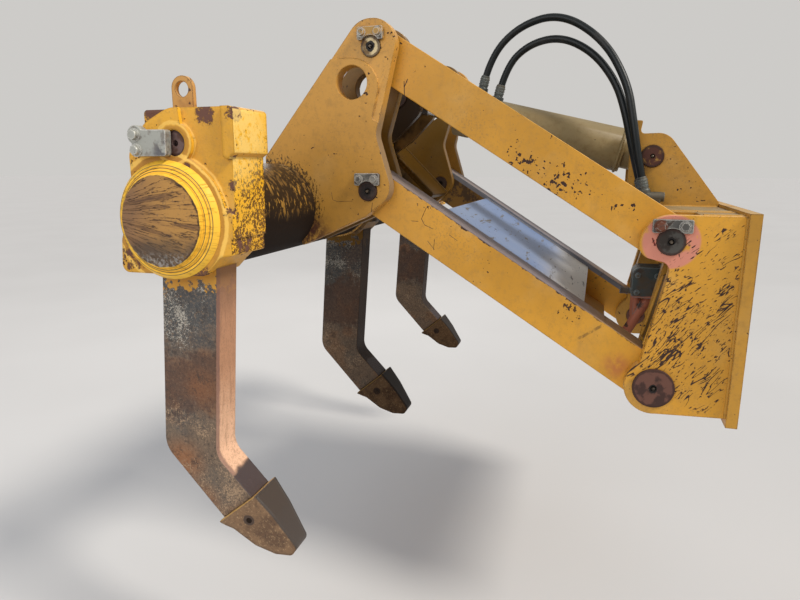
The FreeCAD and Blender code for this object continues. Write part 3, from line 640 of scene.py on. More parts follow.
# Painted shade with grease: the arms' inner faces near the beam end are dark brown, with grease
# stains over that.
oiled_and_shaded = inside * arm.under(arm.along("Y"), -0.80, -0.65)
arm.layer(oiled_and_shaded * 0.85, (0.14, 0.070, 0.012), roughness=0.6)
stains = arm.grain(11.0, detail=7.0, seed=7.0, rough=0.7) - arm.along("Y") * 0.12
arm.layer(oiled_and_shaded * arm.over(stains, 0.58, 0.63) * 0.85, (0.040, 0.022, 0.012), roughness=0.5)
arm.layer(inside * arm.over(above_middle, 0.045, 0.047), (0.19, 0.19, 0.21), roughness=0.6)
cracks(arm, 0.0010, ((-0.895, 0.285), (-0.910, 0.251), (-0.900, 0.233), (-0.875, 0.222)),
       ((-0.942, 0.244), (-0.920, 0.243)), ((-0.822, 0.205), (-0.797, 0.188)),
       ((-0.890, 0.184), (-0.868, 0.158)), ((-0.868, 0.191), (-0.871, 0.157)))
smear = arm.stroke((-0.4334, -0.0906), (-0.356, -0.0359), 0.006)
arm.layer(smear * arm.over(torn, 0.45, 0.60) * 0.7, (0.16, 0.085, 0.025))
stained = arm.near((LINK_OUTSIDE, -0.318, -0.160), 0.030, 0.026) * 0.7
arm.layer(stained * arm.patches(0.35, 0.6, 25.0), (0.50, 0.13, 0.06))
dress(arm.close(), *pair("lower_link_arm"), edge=CUT_EDGE)
box_paint = worn_paint("lower_box_paint", 18.0, dirt=0.8)
dress(box_paint.close(), "lower_link_bottom", "lower_link_diaphragms")

deck = Finish("bare_deck", (0.155, 0.235, 0.43), 0.42, metallic=0.15)
deck.layer(deck.patches(0.4, 0.7, 3.0, detail=5.0), (0.23, 0.30, 0.45), roughness=0.5)
bright_end = deck.over(deck.along("Y") + deck.grain(6.0, detail=5.0) * 0.08, -0.56, -0.42)
deck.layer(bright_end, (0.60, 0.56, 0.49), roughness=0.45, metallic=0.1)
wiped = deck.patches(0.585, 0.635, 20.0, detail=6.0, stretch=(0.35, 2.2, 2.2), seed=5.0,
                     rough=0.7)
deck.layer(wiped, (0.12, 0.105, 0.09), roughness=0.5, sink=0.3)
deck.layer(deck.patches(0.68, 0.72, 60.0, seed=2.0), (0.07, 0.05, 0.04), roughness=0.8)
deck.layer(deck.over(deck.edges(0.004), 0.02, 0.05), (0.50, 0.49, 0.47), roughness=0.3,
           metallic=0.8)
dress(deck.close(0.0004), "lower_link_deck", edge=0.0015)


def along_link(distance, depth):
    """Point inside the arm at a distance from the bracket pin, below the arm's middle line."""
    y = LOWER_BRACKET_PIN[0] - distance * math.cos(LINK_ANGLE) - depth * math.sin(LINK_ANGLE)
    z = LOWER_BRACKET_PIN[1] + distance * math.sin(LINK_ANGLE) - depth * math.cos(LINK_ANGLE)
    return (LINK_INSIDE, y, z)


link_lines = [[along_link(0.272, depth), along_link(0.798, depth)] for depth in (-0.0515, 0.0635)]
weld.grow("lower_link_welds", wires(both_sides(link_lines)), "lower_link_deck",
          Finish=arm.material, Bead=0.0045)


# Beam plates and tube: 40 mm side plates welded round a 273 mm tube. Grease from the tube has run
# over the rear of the plates, and the lugs beside the rod are a glossy near black. The inner and
# front plates are darkened as painted shade, and the tube's underside as painted shade and grease.
TUBE_AXIS = (-1.37726, 0.28035)
TUBE_RADIUS = 0.1365
PAINT_SHADED = (0.21, 0.105, 0.013)
GREASE = (0.028, 0.017, 0.010)
GREASE_THIN = (0.13, 0.07, 0.022)
plate = worn_paint("beam_plate_paint", 21.0, base=(0.57, 0.285, 0.048), spots=(
    ((OUTER_FACE, -0.83, 0.685), 0.03, 0.16),
    ((OUTER_FACE, -1.20, 0.40), 0.07, 0.06),
))
splashed = plate.under(plate.from_axis(TUBE_AXIS), 0.140, 0.190)
drops = plate.grain(120.0, detail=5.0, stretch=(1.0, 1.3, 0.7), seed=6.0, rough=0.7)
plate.layer(plate.over(drops + splashed * 0.18, 0.66, 0.72) * 0.85, GREASE, roughness=0.4)
smudged = plate.near((OUTER_FACE, -1.250, 0.205), 0.045, 0.035)
plate.layer(smudged * plate.patches(0.36, 0.56, 40.0, detail=6.0), (0.075, 0.025, 0.014),
            roughness=0.5)
cracks(plate, 0.0007, ((-1.184, 0.329), (-1.180, 0.307), (-1.166, 0.302), (-1.115, 0.304)))
plate.layer(plate.stroke((-1.050, 0.300), (-1.054, 0.272), 0.0012), CHIP)
dusty_front = plate.over(plate.facing("Y"), 0.6, 0.85) * plate.under(plate.along("Z"), 0.52, 0.60)
plate.layer(dusty_front * 0.75, (0.21, 0.155, 0.10), roughness=0.85)
dress(plate.close(), *pair("beam_outer_plate"), edge=CUT_EDGE)

# The inner plates take a darkened yellow as painted shade, and grease from the tube runs over it.
side_paint = worn_paint("beam_inner_paint", 24.0, dirt=0.9, base=PAINT_SHADED)
streaks = side_paint.grain(9.0, detail=7.0, stretch=(0.6, 0.5, 2.0), seed=6.0, rough=0.75,
                           turn=math.radians(-40.0))
greased = side_paint.from_axis(TUBE_AXIS) - (streaks - 0.5) * 0.30
side_paint.layer(side_paint.under(greased, 0.165, 0.215), GREASE_THIN, roughness=0.45)
side_paint.layer(side_paint.under(greased, 0.095, 0.175), GREASE, roughness=0.4)
dress(side_paint.close(), *pair("beam_inner_plate"), edge=CUT_EDGE)
# The front plates are painted near black and left without dust, as painted shade.
web_paint = worn_paint("beam_web_paint", 25.0, dirt=0.9, base=(0.078, 0.038, 0.005), dust=0.0,
                       shine=0.08).close()
dress(web_paint, "beam_front_plates")

tube = worn_paint("beam_tube_paint", 27.0, dirt=0.8, base=(0.46, 0.24, 0.040), shine=0.15)
tube.layer(tube.patches(0.42, 0.56, 9.0, detail=6.0, seed=1.0, rough=0.7) * 0.9, GREASE_THIN,
           roughness=0.45)
strands = tube.grain(25.0, detail=4.0, stretch=(2.0, 0.8, 0.8), seed=1.0, rough=0.65)
strands = abs(strands - 0.5) - (0.55 - tube.along("Z")) * 0.32
tube.layer(tube.under(strands, 0.012, 0.028), GREASE, roughness=0.35, sink=0.4)
# Painted shade and grease: the tube's underside darkens to near black.
shaded_greasy_underside = tube.under(tube.facing("Z") + tube.grain(8.0, detail=6.0) * 0.7, 0.15, 0.60)
tube.layer(shaded_greasy_underside, (0.012, 0.006, 0.003), roughness=0.8)
dress(tube.close(0.0006), *pair("beam_tube"))
# The lugs beside the rod: a glossy near black.
lug = Finish("greasy_lug", GREASE_THIN, 0.35, shine=0.12)
lug.layer(lug.patches(0.40, 0.56, 7.0, detail=7.0), GREASE, roughness=0.25)
dress(lug.close(), *pair("cylinder_lug"))


def tube_arc(x, first, last):
    """Arc on the tube, with its angles in degrees from forward, upward."""
    radius = TUBE_RADIUS + 0.001
    steps = max(8, round((last - first) / 5.0))
    angles = [math.radians(first + (last - first) * step / steps) for step in range(steps)]
    arc = [(x, TUBE_AXIS[0] + radius * math.cos(a), TUBE_AXIS[1] + radius * math.sin(a))
           for a in angles]
    return arc + arc[:1] if last - first == 360.0 else arc


POCKET_FACES = (0.076, 0.924)
EYE_FACES = (0.992, 1.008)
FRONT_PLATE_ENDS = (0.116, 0.354)
beam_lines = [tube_arc(x, -49.0, 102.0) for x in EAR_FACES]
beam_lines += [tube_arc(x, 37.0, 72.0) for x in TOWER_FACES]
beam_lines += [tube_arc(x, 0.0, 360.0) for x in POCKET_FACES]
beam_lines += [[(x, -1.394, 0.540), (x, -1.335, 0.540)] for x in EYE_FACES]
weld.grow("beam_welds", wires(both_sides(beam_lines)), "beam_tube_right", Finish=plate.material,
          Bead=0.006)
web_lines = [[(x, -1.239, 0.502), (x, -1.036, 0.299)] for x in FRONT_PLATE_ENDS]
weld.grow("beam_web_welds", wires(both_sides(web_lines)), "beam_front_plates", Finish=web_paint)


# Shank pockets: rough steel castings at the beam's ends and middle, brushed yellow, with purple
# rust where the paint is gone, and the middle one near black low down. Painted light makes their
# yellow brighter than the plates', most on forward faces and in a sunlit patch, and rings of
# painted shade and highlight run round the collar and the pin boss.
PAINT_SUNLIT = (0.88, 0.44, 0.036)
BROWN_GRIME_AND_SHADE = (0.42, 0.185, 0.028)
PAINTED_HIGHLIGHT_YELLOW = (1.0, 0.62, 0.13)
PURPLE_RUST = (0.14, 0.062, 0.042)
SHANK_PIN = (-1.34826, 0.46035)
RUSTED = (
    ((1.06, -1.268, 0.524), 0.026, 0.34), ((1.06, -1.188, 0.524), 0.022, 0.40),
    ((1.075, -1.315, 0.408), 0.009, 0.40), ((1.03, -1.430, 0.545), 0.038, 0.42),
    ((1.07, -1.495, 0.185), 0.045, 0.25), ((1.06, -1.204, 0.430), 0.014, 0.28),
    ((1.06, -1.208, 0.365), 0.016, 0.28), ((1.06, -1.212, 0.300), 0.018, 0.28),
    ((1.02, -1.215, 0.225), 0.050, 0.24), ((1.07, -1.300, 0.150), 0.030, 0.26),
)
# The pockets' yellow is brighter than the plates', as painted light.
casting = worn_paint("casting_paint", 30.0, chipping=0.01, dirt=0.3, base=PAINT_SUNLIT,
                     rubbing=0.0, dust=0.75, spots=(
    ((1.0, -1.34, 0.54), 0.06, 0.10),
    ((1.07, -1.21, 0.22), 0.05, 0.07),
    ((1.0, -1.20, 0.53), 0.05, 0.10),
    ((1.075, -1.52, 0.16), 0.05, 0.14),
    ((1.06, -1.21, 0.32), 0.04, 0.08),
))
front = casting.over(casting.facing("Y"), 0.80, 0.95)
# Painted light: forward faces are a brighter yellow, as if in sun.
casting.layer(front * 0.7, (0.96, 0.50, 0.012))
pitted = casting.grain(120.0, detail=5.0, rough=0.75) + casting.grain(9.0) * 0.3
pitted = pitted + (0.44 - casting.along("Z")) * 0.28
pitted = pitted - casting.over(casting.along("Z"), 0.38, 0.43) * 0.07
casting.layer(front * casting.over(pitted, 0.66, 0.71) * 0.95, (0.10, 0.040, 0.010),
              roughness=0.7)
sideways = casting.over(abs(casting.facing("X")), 0.15, 0.40)
uneven = (casting.grain(24.0, detail=5.0, seed=2.0, rough=0.65) - 0.5) * 0.014
collar = casting.from_axis(TUBE_AXIS) + uneven
boss = casting.from_axis(SHANK_PIN) + uneven
# Brown grime below and beside the pin boss.
casting.layer(casting.near((1.075, -1.395, 0.405), 0.065, 0.050) * 0.5, BROWN_GRIME_AND_SHADE)
casting.layer(casting.near((1.063, -1.275, 0.470), 0.055, 0.050) * 0.22, BROWN_GRIME_AND_SHADE)
# Painted shade and painted highlights on sideways faces: brown rings in the hollows round the
# collar and the pin boss, and yellow highlight rings on their rims.
for ring, radius, width, strength, colour in (
        (collar, 0.146, 0.004, 0.6, BROWN_GRIME_AND_SHADE), (boss, 0.036, 0.003, 0.6, BROWN_GRIME_AND_SHADE),
        (collar, 0.158, 0.0032, 0.75, PAINTED_HIGHLIGHT_YELLOW), (boss, 0.0475, 0.0028, 0.6, PAINTED_HIGHLIGHT_YELLOW)):
    casting.layer(casting.line(ring, radius, width) * sideways * strength, colour)
patchy = casting.grain(62.0, detail=8.0, seed=13.0, rough=0.78)
for place, radius, strength in RUSTED:
    bare = casting.near(place, radius, radius * 0.7) * strength
    casting.layer(casting.over(bare + patchy, 0.70, 0.77), PURPLE_RUST, roughness=0.8, sink=0.6)
# Painted light: a pale sunlit patch on the near pocket's front, broken up by the grain.
sunlit_patch = casting.near((1.04, -1.16, 0.48), 0.11, 0.05) * front
casting.layer(sunlit_patch * casting.under(patchy, 0.50, 0.62) * 0.7, (1.0, 0.70, 0.22))
# The middle pocket is painted near black low down.
below_middle = casting.under(abs(casting.along("X")), 0.30, 0.40)
below_middle = below_middle * casting.under(casting.along("Z") + uneven * 4.0, 0.26, 0.34)
casting.layer(below_middle * 0.92, GREASE_THIN, roughness=0.6)
casting.layer(below_middle * casting.patches(0.42, 0.54, 14.0, detail=6.0), GREASE)
casting.relief = casting.relief + casting.grain(210.0, detail=4.0) * 0.5
casting.softness = 0.011
dress(casting.close(0.0012), *pair("shank_pocket"), "shank_pocket_centre", edge=0.005,
      joined=0.0012)


# End discs: flame-cut steel plates that close the beam's ends, bare but for a brushed yellow rim.
# Soil and grease have been wiped over them in a fan of streaks.
FAN_CENTRE = (-1.620, 0.300)
disc = Finish("end_disc_steel", (0.46, 0.235, 0.060), 0.6, shine=0.3)
shadowed = disc.under(disc.along("Y") + disc.grain(8.0) * 0.1, -1.42, -1.29)
disc.layer(shadowed * 0.8, (0.18, 0.095, 0.055))
disc.layer(disc.patches(0.55, 0.66, 90.0, detail=5.0, seed=4.0, rough=0.7) * 0.6,
           (0.15, 0.095, 0.055))
bearing = disc.math("ARCTAN2", disc.along("Z") - FAN_CENTRE[1], disc.along("Y") - FAN_CENTRE[0])
fan = disc.node("ShaderNodeCombineXYZ", {}, {
    "X": bearing * 12.0, "Y": disc.along("Y") * 4.0, "Z": disc.along("X")})
fan = disc.node("ShaderNodeTexNoise", {}, {
    "Vector": fan, "Scale": 1.0, "Detail": 6.0, "Roughness": 0.62})
disc.layer(disc.over(fan, 0.50, 0.64) * 0.9, (0.20, 0.100, 0.040), roughness=0.65)
disc.layer(disc.over(fan, 0.60, 0.66) * 0.7, (0.085, 0.045, 0.028), roughness=0.75)
for level in (0.46, 0.58):
    disc.layer(disc.line(fan, level, 0.004), (0.065, 0.030, 0.020), sink=0.9)
bottom = disc.under(disc.along("Z") + disc.grain(9.0, detail=6.0) * 0.10, 0.255, 0.305)
disc.layer(bottom * 0.85, (0.080, 0.055, 0.038), roughness=0.5)
lowest = disc.under(disc.along("Z"), 0.185, 0.215)
disc.layer(lowest * disc.patches(0.46, 0.58, 110.0, detail=6.0, rough=0.7),
           (0.27, 0.24, 0.21), roughness=0.5)
from_centre = disc.from_axis(TUBE_AXIS)
torn_rim = from_centre + disc.grain(45.0, detail=6.0, rough=0.7) * 0.03
disc.layer(disc.over(torn_rim, 0.115, 0.121) * disc.over(disc.along("Y"), -1.38, -1.31),
           (0.060, 0.030, 0.018), roughness=0.7)
brushed = from_centre + disc.grain(60.0, detail=4.0) * 0.006
disc.layer(disc.over(brushed, 0.1095, 0.1125), (0.96, 0.55, 0.05), roughness=0.42)
for radius in (0.1165, 0.1235, 0.1305):
    disc.layer(disc.line(from_centre, radius, 0.0005), GRIME, sink=0.9)
dress(disc.close(), *pair("beam_end_cap"), edge=0.0015)


# Lifting eyes: flame-cut plates welded on top of the end pockets, rusted through their paint.
# Their edges have gone darkest.
eye = Finish("eye_rust", (0.55, 0.29, 0.085), 0.7, shine=0.3)
eye.layer(eye.patches(0.48, 0.68, 14.0, detail=6.0), (0.33, 0.16, 0.055))
eye.layer(eye.patches(0.62, 0.70, 50.0, detail=4.0, seed=2.0), (0.10, 0.045, 0.025), sink=0.4)
eye.layer(eye.over(eye.edges(0.004), 0.02, 0.06), (0.13, 0.065, 0.03))
dress(eye.close(), "lifting_eyes", edge=0.002)


# Shanks and teeth: forged bars with cast caps, worn bright in the ground and rusting since. Some
# paint is left below the pockets, and soil and lime have dried on in pale specks. The centre and
# left ones take darker copies of the near ones' finishes, as painted shade.
TOOTH_PIN = (-1.221, -0.501)
SHANK_TOOTH_SEAM = -0.356


def forged_coat(name, light, front_colour):
    """Forged bar, with a share of the near shank's light as painted shade, and its own front face.
    """
    def lit(*colour):
        return shaded(colour, light)

    bar = Finish(name, lit(0.135, 0.098, 0.072), 0.62, shine=0.4 * light * light)
    bar.layer(bar.patches(0.44, 0.60, 4.0, detail=7.0, seed=3.0), lit(0.088, 0.086, 0.078),
              roughness=0.5)
    bar.layer(bar.patches(0.50, 0.62, 5.0, detail=8.0, seed=9.0), lit(0.225, 0.108, 0.052))
    bar.layer(bar.patches(0.50, 0.64, 24.0, detail=7.0, seed=2.0, rough=0.75) * 0.7,
              lit(0.055, 0.045, 0.040))
    level = bar.grain(10.0, detail=9.0, seed=8.0, rough=0.75) - 0.5
    level = bar.along("Z") + level * 0.34
    bar.layer(bar.over(level, -0.04, 0.01) * 0.75, lit(0.062, 0.066, 0.068), roughness=0.5)
    banded = bar.over(level, -0.24, -0.20) * bar.under(level, -0.07, -0.03)
    bar.layer(banded * 0.8, lit(0.088, 0.046, 0.030))
    bar.layer(bar.under(level, -0.27, -0.21) * 0.5, lit(0.20, 0.13, 0.078))
    for place, radius, soft, strength, colour in (
            ((1.045, -1.415, -0.365), 0.05, 0.04, 0.7, (0.33, 0.12, 0.035)),
            ((1.045, -1.340, -0.150), 0.04, 0.03, 0.6, (0.26, 0.10, 0.035)),
            ((1.045, -1.360, -0.470), 0.04, 0.035, 0.6, (0.34, 0.13, 0.040))):
        bar.layer(bar.near(place, radius, soft) * strength, colour)
    fine = bar.grain(140.0, detail=6.0, seed=4.0, rough=0.85)
    bar.layer(bar.over(fine, 0.52, 0.62) * (0.7 - banded * 0.4), lit(0.27, 0.175, 0.105))
    bar.layer(bar.under(fine, 0.38, 0.47) * 0.7, lit(0.035, 0.026, 0.022))
    bar.layer(bar.patches(0.56, 0.64, 28.0, detail=7.0, seed=12.0, rough=0.75) * 0.65,
              lit(0.040, 0.028, 0.022))
    limed = bar.grain(210.0, detail=5.0, seed=1.0, rough=0.8)
    limed = limed + bar.grain(10.0, seed=5.0) * 0.6 - banded * 0.08
    lime = bar.mix(bar.over(level, -0.16, -0.10), lit(0.38, 0.255, 0.155), lit(0.45, 0.41, 0.34))
    bar.layer(bar.over(limed, 0.89, 0.95), lime, roughness=0.8)
    front = bar.over(bar.facing("Y") + bar.grain(12.0, detail=5.0) * 0.2, 0.62, 0.78)
    upper = bar.over(bar.along("Z") + bar.grain(10.0, detail=4.0) * 0.05,
                     SHANK_TOOTH_SEAM - 0.006, SHANK_TOOTH_SEAM + 0.006)
    bar.layer(front * upper, front_colour, roughness=0.7)
    shadow = bar.over(bar.along("Z") + bar.grain(14.0, detail=6.0) * 0.16, 0.09, 0.20)
    bar.layer(front * shadow * 0.75, shaded(front_colour, 0.4), roughness=0.7)
    rubbed = bar.under(bar.along("Z") + bar.grain(11.0, detail=6.0) * 0.16, -0.26, 0.0)
    pale = (front_colour[0] * 1.87, front_colour[1] * 2.3, front_colour[2] * 2.7)
    bar.layer(front * upper * rubbed * 0.85, pale, roughness=0.6)
    streaks = bar.patches(0.48, 0.66, 42.0, detail=6.0, stretch=(2.4, 2.4, 0.30), seed=6.0,
                          rough=0.75)
    bar.layer(front * upper * streaks * 0.5, shaded(front_colour, 0.55), roughness=0.65)
    specks = bar.patches(0.52, 0.60, 170.0, detail=4.0, seed=10.0, rough=0.8)
    bar.layer(front * upper * specks * 0.35, shaded(front_colour, 0.45))
    flank = bar.over(bar.along("X") + bar.grain(30.0, detail=4.0) * 0.012, 1.031, 1.040)
    bar.layer(front * upper * flank * 0.7, lit(0.16, 0.085, 0.075))
    bar.layer(front * (1.0 - upper), lit(0.060, 0.042, 0.042), roughness=0.45)
    painted = bar.along("Z") + bar.grain(55.0, detail=7.0, seed=7.0) * 0.20
    bar.layer(bar.over(painted, 0.208, 0.220) * (1.0 - front * 0.85),
              shaded(PAINT, 0.8 * light ** 3), roughness=0.5)
    bar.relief = bar.relief + bar.grain(60.0, detail=8.0, rough=0.8)
    bar.softness = 0.008
    return bar.close(0.0022)


def point_coat(name, light):
    """Worn cast point, dark on its upper face, a painted highlight on its rear edge, and a pin's
    end.
    """
    def lit(*colour):
        return shaded(colour, light)

    steel = Finish(name, lit(0.225, 0.128, 0.064), 0.6, shine=0.4 * light * light)
    steel.layer(steel.patches(0.45, 0.62, 16.0, detail=7.0), lit(0.13, 0.070, 0.036))
    steel.layer(steel.patches(0.54, 0.62, 130.0, detail=6.0, rough=0.8) * 0.8,
                lit(0.42, 0.27, 0.14))
    steel.layer(steel.patches(0.54, 0.62, 120.0, detail=6.0, seed=6.0, rough=0.8) * 0.7,
                lit(0.06, 0.035, 0.022))
    pin = steel.from_axis(TOOTH_PIN) + steel.grain(90.0) * 0.004
    steel.layer(steel.under(pin, 0.016, 0.019), lit(0.07, 0.042, 0.028))
    upper = steel.facing("Y", soft=0.012) + steel.facing("Z", soft=0.012) * 0.6
    upper = steel.over(upper + steel.grain(14.0, detail=5.0) * 0.3, 0.50, 0.90)
    steel.layer(upper, lit(0.058, 0.045, 0.038), roughness=0.42)
    # Painted highlight: a bright line along the point's rear edge, off its upper faces.
    rear_edge_highlight = steel.stroke((-1.305, -0.516), (-1.200, -0.428), 0.003)
    steel.layer(rear_edge_highlight * (1.0 - upper), lit(0.52, 0.30, 0.09), roughness=0.4)
    steel.relief = steel.relief + steel.grain(80.0, detail=6.0) * 0.5
    steel.softness = 0.018
    return steel.close(0.0008)


# Painted shade: the centre and left shanks and teeth take darker copies of the near finishes, and
# the tooth pins take the darker tooth finish too.
shaded_point = point_coat("tooth_steel_far", 0.38)
dress(forged_coat("forged_shank_near", 1.0, (0.46, 0.235, 0.13)), "shank_right", edge=0.005)
dress(forged_coat("forged_shank_far", 0.62, (0.017, 0.009, 0.006)), "shank_centre", "shank_left",
      edge=0.005)
dress(point_coat("tooth_steel_near", 1.0), "tooth_right", edge=0.009)
dress(shaded_point, "tooth_centre", "tooth_left", edge=0.009)


# Tooth pins: spring pins of rolled steel, driven through each tooth and its shank from the side.
# Their ends stand a little out of the tooth.
SHANK_SPACING = 1.0
TOOTH_CHEEK = 0.0508
roll_pin = Growth("tooth_pin", Radius=0.0085)
roll_pin.stand(roll_pin.bar(16, roll_pin.given("Radius"), -0.006, 0.0015, bevel=0.25))
roll_spots = [((shank + side * TOOTH_CHEEK, *TOOTH_PIN), (side, 0, 0))
              for shank in (SHANK_SPACING, 0.0, -SHANK_SPACING) for side in (1, -1)]
roll_pin.grow("tooth_pins", aimed(roll_spots), "tooth_right", Finish=shaded_point)


# Pins, keepers and retainers: hardened pins, greased and dark; zinc-plated keeper plates and
# galvanised retainers that stop them.
BEAM_UPPER_PIN = (-1.05226, 0.74535)
BEAM_LOWER_PIN = (-1.06426, 0.33435)
ROD_PIN = (-1.11226, 0.64835)
TOWER_PIN = (-0.240, 0.440)
ROD_PIN_DARK = (0.070, 0.040, 0.022)
ROD_PIN_WORN = (0.028, 0.017, 0.012)


def pin_end(node, axis, radius, face, worn, hole=0.010, spread=0.46):
    """Greased pin end: a mottled face, a darker rim and a centre hole painted black as shade."""
    coat = Finish(node + "_steel", face, 0.5, metallic=0.2, shine=0.35)
    coat.layer(coat.patches(spread, spread + 0.12, 30.0, detail=6.0), worn, roughness=0.65)
    away = coat.from_axis(axis) + (coat.grain(55.0, detail=4.0) - 0.5) * 0.014
    coat.layer(coat.over(away, radius - 0.008, radius - 0.004) * 0.8, CHIP, roughness=0.6)
    # Painted shade: the centre hole is a black disc.
    coat.layer(coat.under(away, hole, hole + 0.002), (0.012, 0.009, 0.008), sink=0.8)
    dress(coat.close(), node, edge=0.0015)


pin_end("bracket_upper_pins", BRACKET_PIN, 0.036, (0.075, 0.068, 0.058), (0.035, 0.026, 0.020))
pin_end("bracket_lower_pins", LOWER_BRACKET_PIN, 0.056, (0.15, 0.065, 0.045),
        (0.060, 0.028, 0.022))
pin_end("beam_upper_pins", BEAM_UPPER_PIN, 0.029, (0.60, 0.48, 0.27), (0.20, 0.12, 0.05),
        hole=0.0125)
pin_end("beam_lower_pins", BEAM_LOWER_PIN, 0.029, (0.050, 0.034, 0.028), (0.022, 0.015, 0.013))
pin_end("cylinder_base_pin", TOWER_PIN, 0.035, (0.080, 0.026, 0.016), (0.40, 0.22, 0.05),
        hole=0.004, spread=0.54)
pin_end("shank_pins", SHANK_PIN, 0.030, (0.17, 0.105, 0.095), (0.11, 0.055, 0.040), hole=0.001)
pin_end("rod_pin_ends", ROD_PIN, 0.035, ROD_PIN_DARK, ROD_PIN_WORN)
pin_end("rod_pin_centre", ROD_PIN, 0.035, ROD_PIN_DARK, ROD_PIN_WORN)
zinc = Finish("zinc_plate", (0.24, 0.23, 0.20), 0.5, metallic=0.3, shine=0.4)
zinc.layer(zinc.patches(0.42, 0.56, 26.0, detail=6.0), (0.075, 0.070, 0.062), roughness=0.65,
           metallic=0.0)
oversprayed = zinc.over(zinc.along("Z"), 0.5, 0.52) * zinc.patches(0.38, 0.5, 30.0, seed=4.0)
zinc.layer(oversprayed, (0.42, 0.24, 0.06), roughness=0.6, metallic=0.0)
zinc.layer(zinc.patches(0.56, 0.64, 45.0, detail=6.0, seed=8.0), (0.045, 0.028, 0.020),
           roughness=0.7, metallic=0.0)
zinc.layer(zinc.over(zinc.edges(0.004), 0.02, 0.06), (0.50, 0.47, 0.42), roughness=0.4)
rusty_bolt = zinc.near((0.567, BRACKET_PIN[0] - 0.0295, BRACKET_PIN[1] + 0.042), 0.019, 0.002)
zinc.layer(rusty_bolt * zinc.patches(0.35, 0.5, 60.0), (0.14, 0.045, 0.022), roughness=0.75)
dress(zinc.close(), "bracket_pin_keepers", "beam_pin_keepers", edge=0.0015)
retainer = Finish("galvanised_retainer", (0.36, 0.36, 0.32), 0.5, metallic=0.35)
retainer.layer(retainer.patches(0.50, 0.62, 45.0, detail=6.0), (0.24, 0.22, 0.19),
               roughness=0.65, sink=0.4)
bruised = retainer.near((1.10, -1.355, 0.43), 0.035, 0.012)
retainer.layer(bruised * retainer.patches(0.40, 0.50, 40.0, detail=5.0, seed=3.0),
               (0.12, 0.115, 0.12), roughness=0.5)
retainer.layer(retainer.over(retainer.edges(0.004), 0.03, 0.07), (0.62, 0.60, 0.55),
               roughness=0.35)
dress(retainer.close(), "shank_pin_retainers")


# Keeper and retainer bolts: plated hexagon bolts on washers, two through each plate. The keepers
# of the lower beam pins lie on a doubler, so their bolts stand further out.
KEEPER_FACE = 0.559
DOUBLED_KEEPER_FACE = 0.565
RETAINER_FACE = 0.097
bolt = Growth("hex_bolt", Radius=0.0110, Height=0.0085)
washer = bolt.bar(24, bolt.given("Radius") * 1.22, -0.0005, 0.0020)
head = bolt.bar(6, bolt.given("Radius"), 0.0018, bolt.given("Height") + 0.002, bevel=0.12)
bolt.stand(washer, head)


def beside(pin, half_spacing, height):
    """The two bolt places of a keeper above a pin."""
    return [(pin[0] + side * half_spacing, pin[1] + height) for side in (-1, 1)]


beam_bolts = on_both_ends(KEEPER_FACE, beside(BEAM_UPPER_PIN, 0.024, 0.037))
beam_bolts += on_both_ends(DOUBLED_KEEPER_FACE, beside(BEAM_LOWER_PIN, 0.024, 0.036))
bolt.grow("beam_keeper_bolts", aimed(beam_bolts), "beam_pin_keepers", Finish=zinc.material)
bracket_bolts = on_both_ends(KEEPER_FACE, beside(BRACKET_PIN, 0.0295, 0.042))
bolt.grow("bracket_keeper_bolts", aimed(bracket_bolts), "bracket_pin_keepers",
          Finish=zinc.material, Radius=0.0130)
retainer_places = [(TUBE_AXIS[0] - 0.060, TUBE_AXIS[1] + 0.199),
                   (TUBE_AXIS[0] - 0.058, TUBE_AXIS[1] + 0.164)]
retainer_bolts = on_both_ends(SHANK_SPACING + RETAINER_FACE, retainer_places)
retainer_bolts += [((RETAINER_FACE, *place), (1, 0, 0)) for place in retainer_places]
bolt.grow("retainer_bolts", aimed(retainer_bolts), "shank_pin_retainers",
          Finish=retainer.material, Radius=0.0125, Height=0.0095)


# Grease nipples: small plated nipples screwed into the middle of the pins' ends. Old grease has
# turned them brown.
nipple_finish = Finish("greased_brass", (0.13, 0.10, 0.07), 0.4, metallic=0.4)
nipple_finish.layer(nipple_finish.patches(0.45, 0.6, 120.0), (0.03, 0.022, 0.016))
brass = nipple_finish.close()
nipple = Growth("grease_nipple")
nipple.stand(nipple.bar(6, 0.0058, -0.011, -0.003, bevel=0.1),
             nipple.bar(12, 0.0031, -0.004, 0.003),
             nipple.bar(12, 0.0040, 0.002, 0.006, bevel=0.4))
PIN_FACE = 0.551
WIDE_PIN_FACE = 0.554
DOUBLED_PIN_FACE = 0.557
HINGE_PIN_FACE = 0.123
beam_nipples = on_both_ends(PIN_FACE, [BEAM_UPPER_PIN])
beam_nipples += on_both_ends(DOUBLED_PIN_FACE, [BEAM_LOWER_PIN])
beam_nipples += on_both_ends(HINGE_PIN_FACE, [ROD_PIN])
nipple.grow("beam_grease_nipples", aimed(beam_nipples), "beam_upper_pins", Finish=brass)
bracket_nipples = on_both_ends(PIN_FACE, [BRACKET_PIN])
bracket_nipples += on_both_ends(WIDE_PIN_FACE, [LOWER_BRACKET_PIN])
bracket_nipples += on_both_ends(HINGE_PIN_FACE, [TOWER_PIN])
nipple.grow("bracket_grease_nipples", aimed(bracket_nipples), "bracket_upper_pins", Finish=brass)


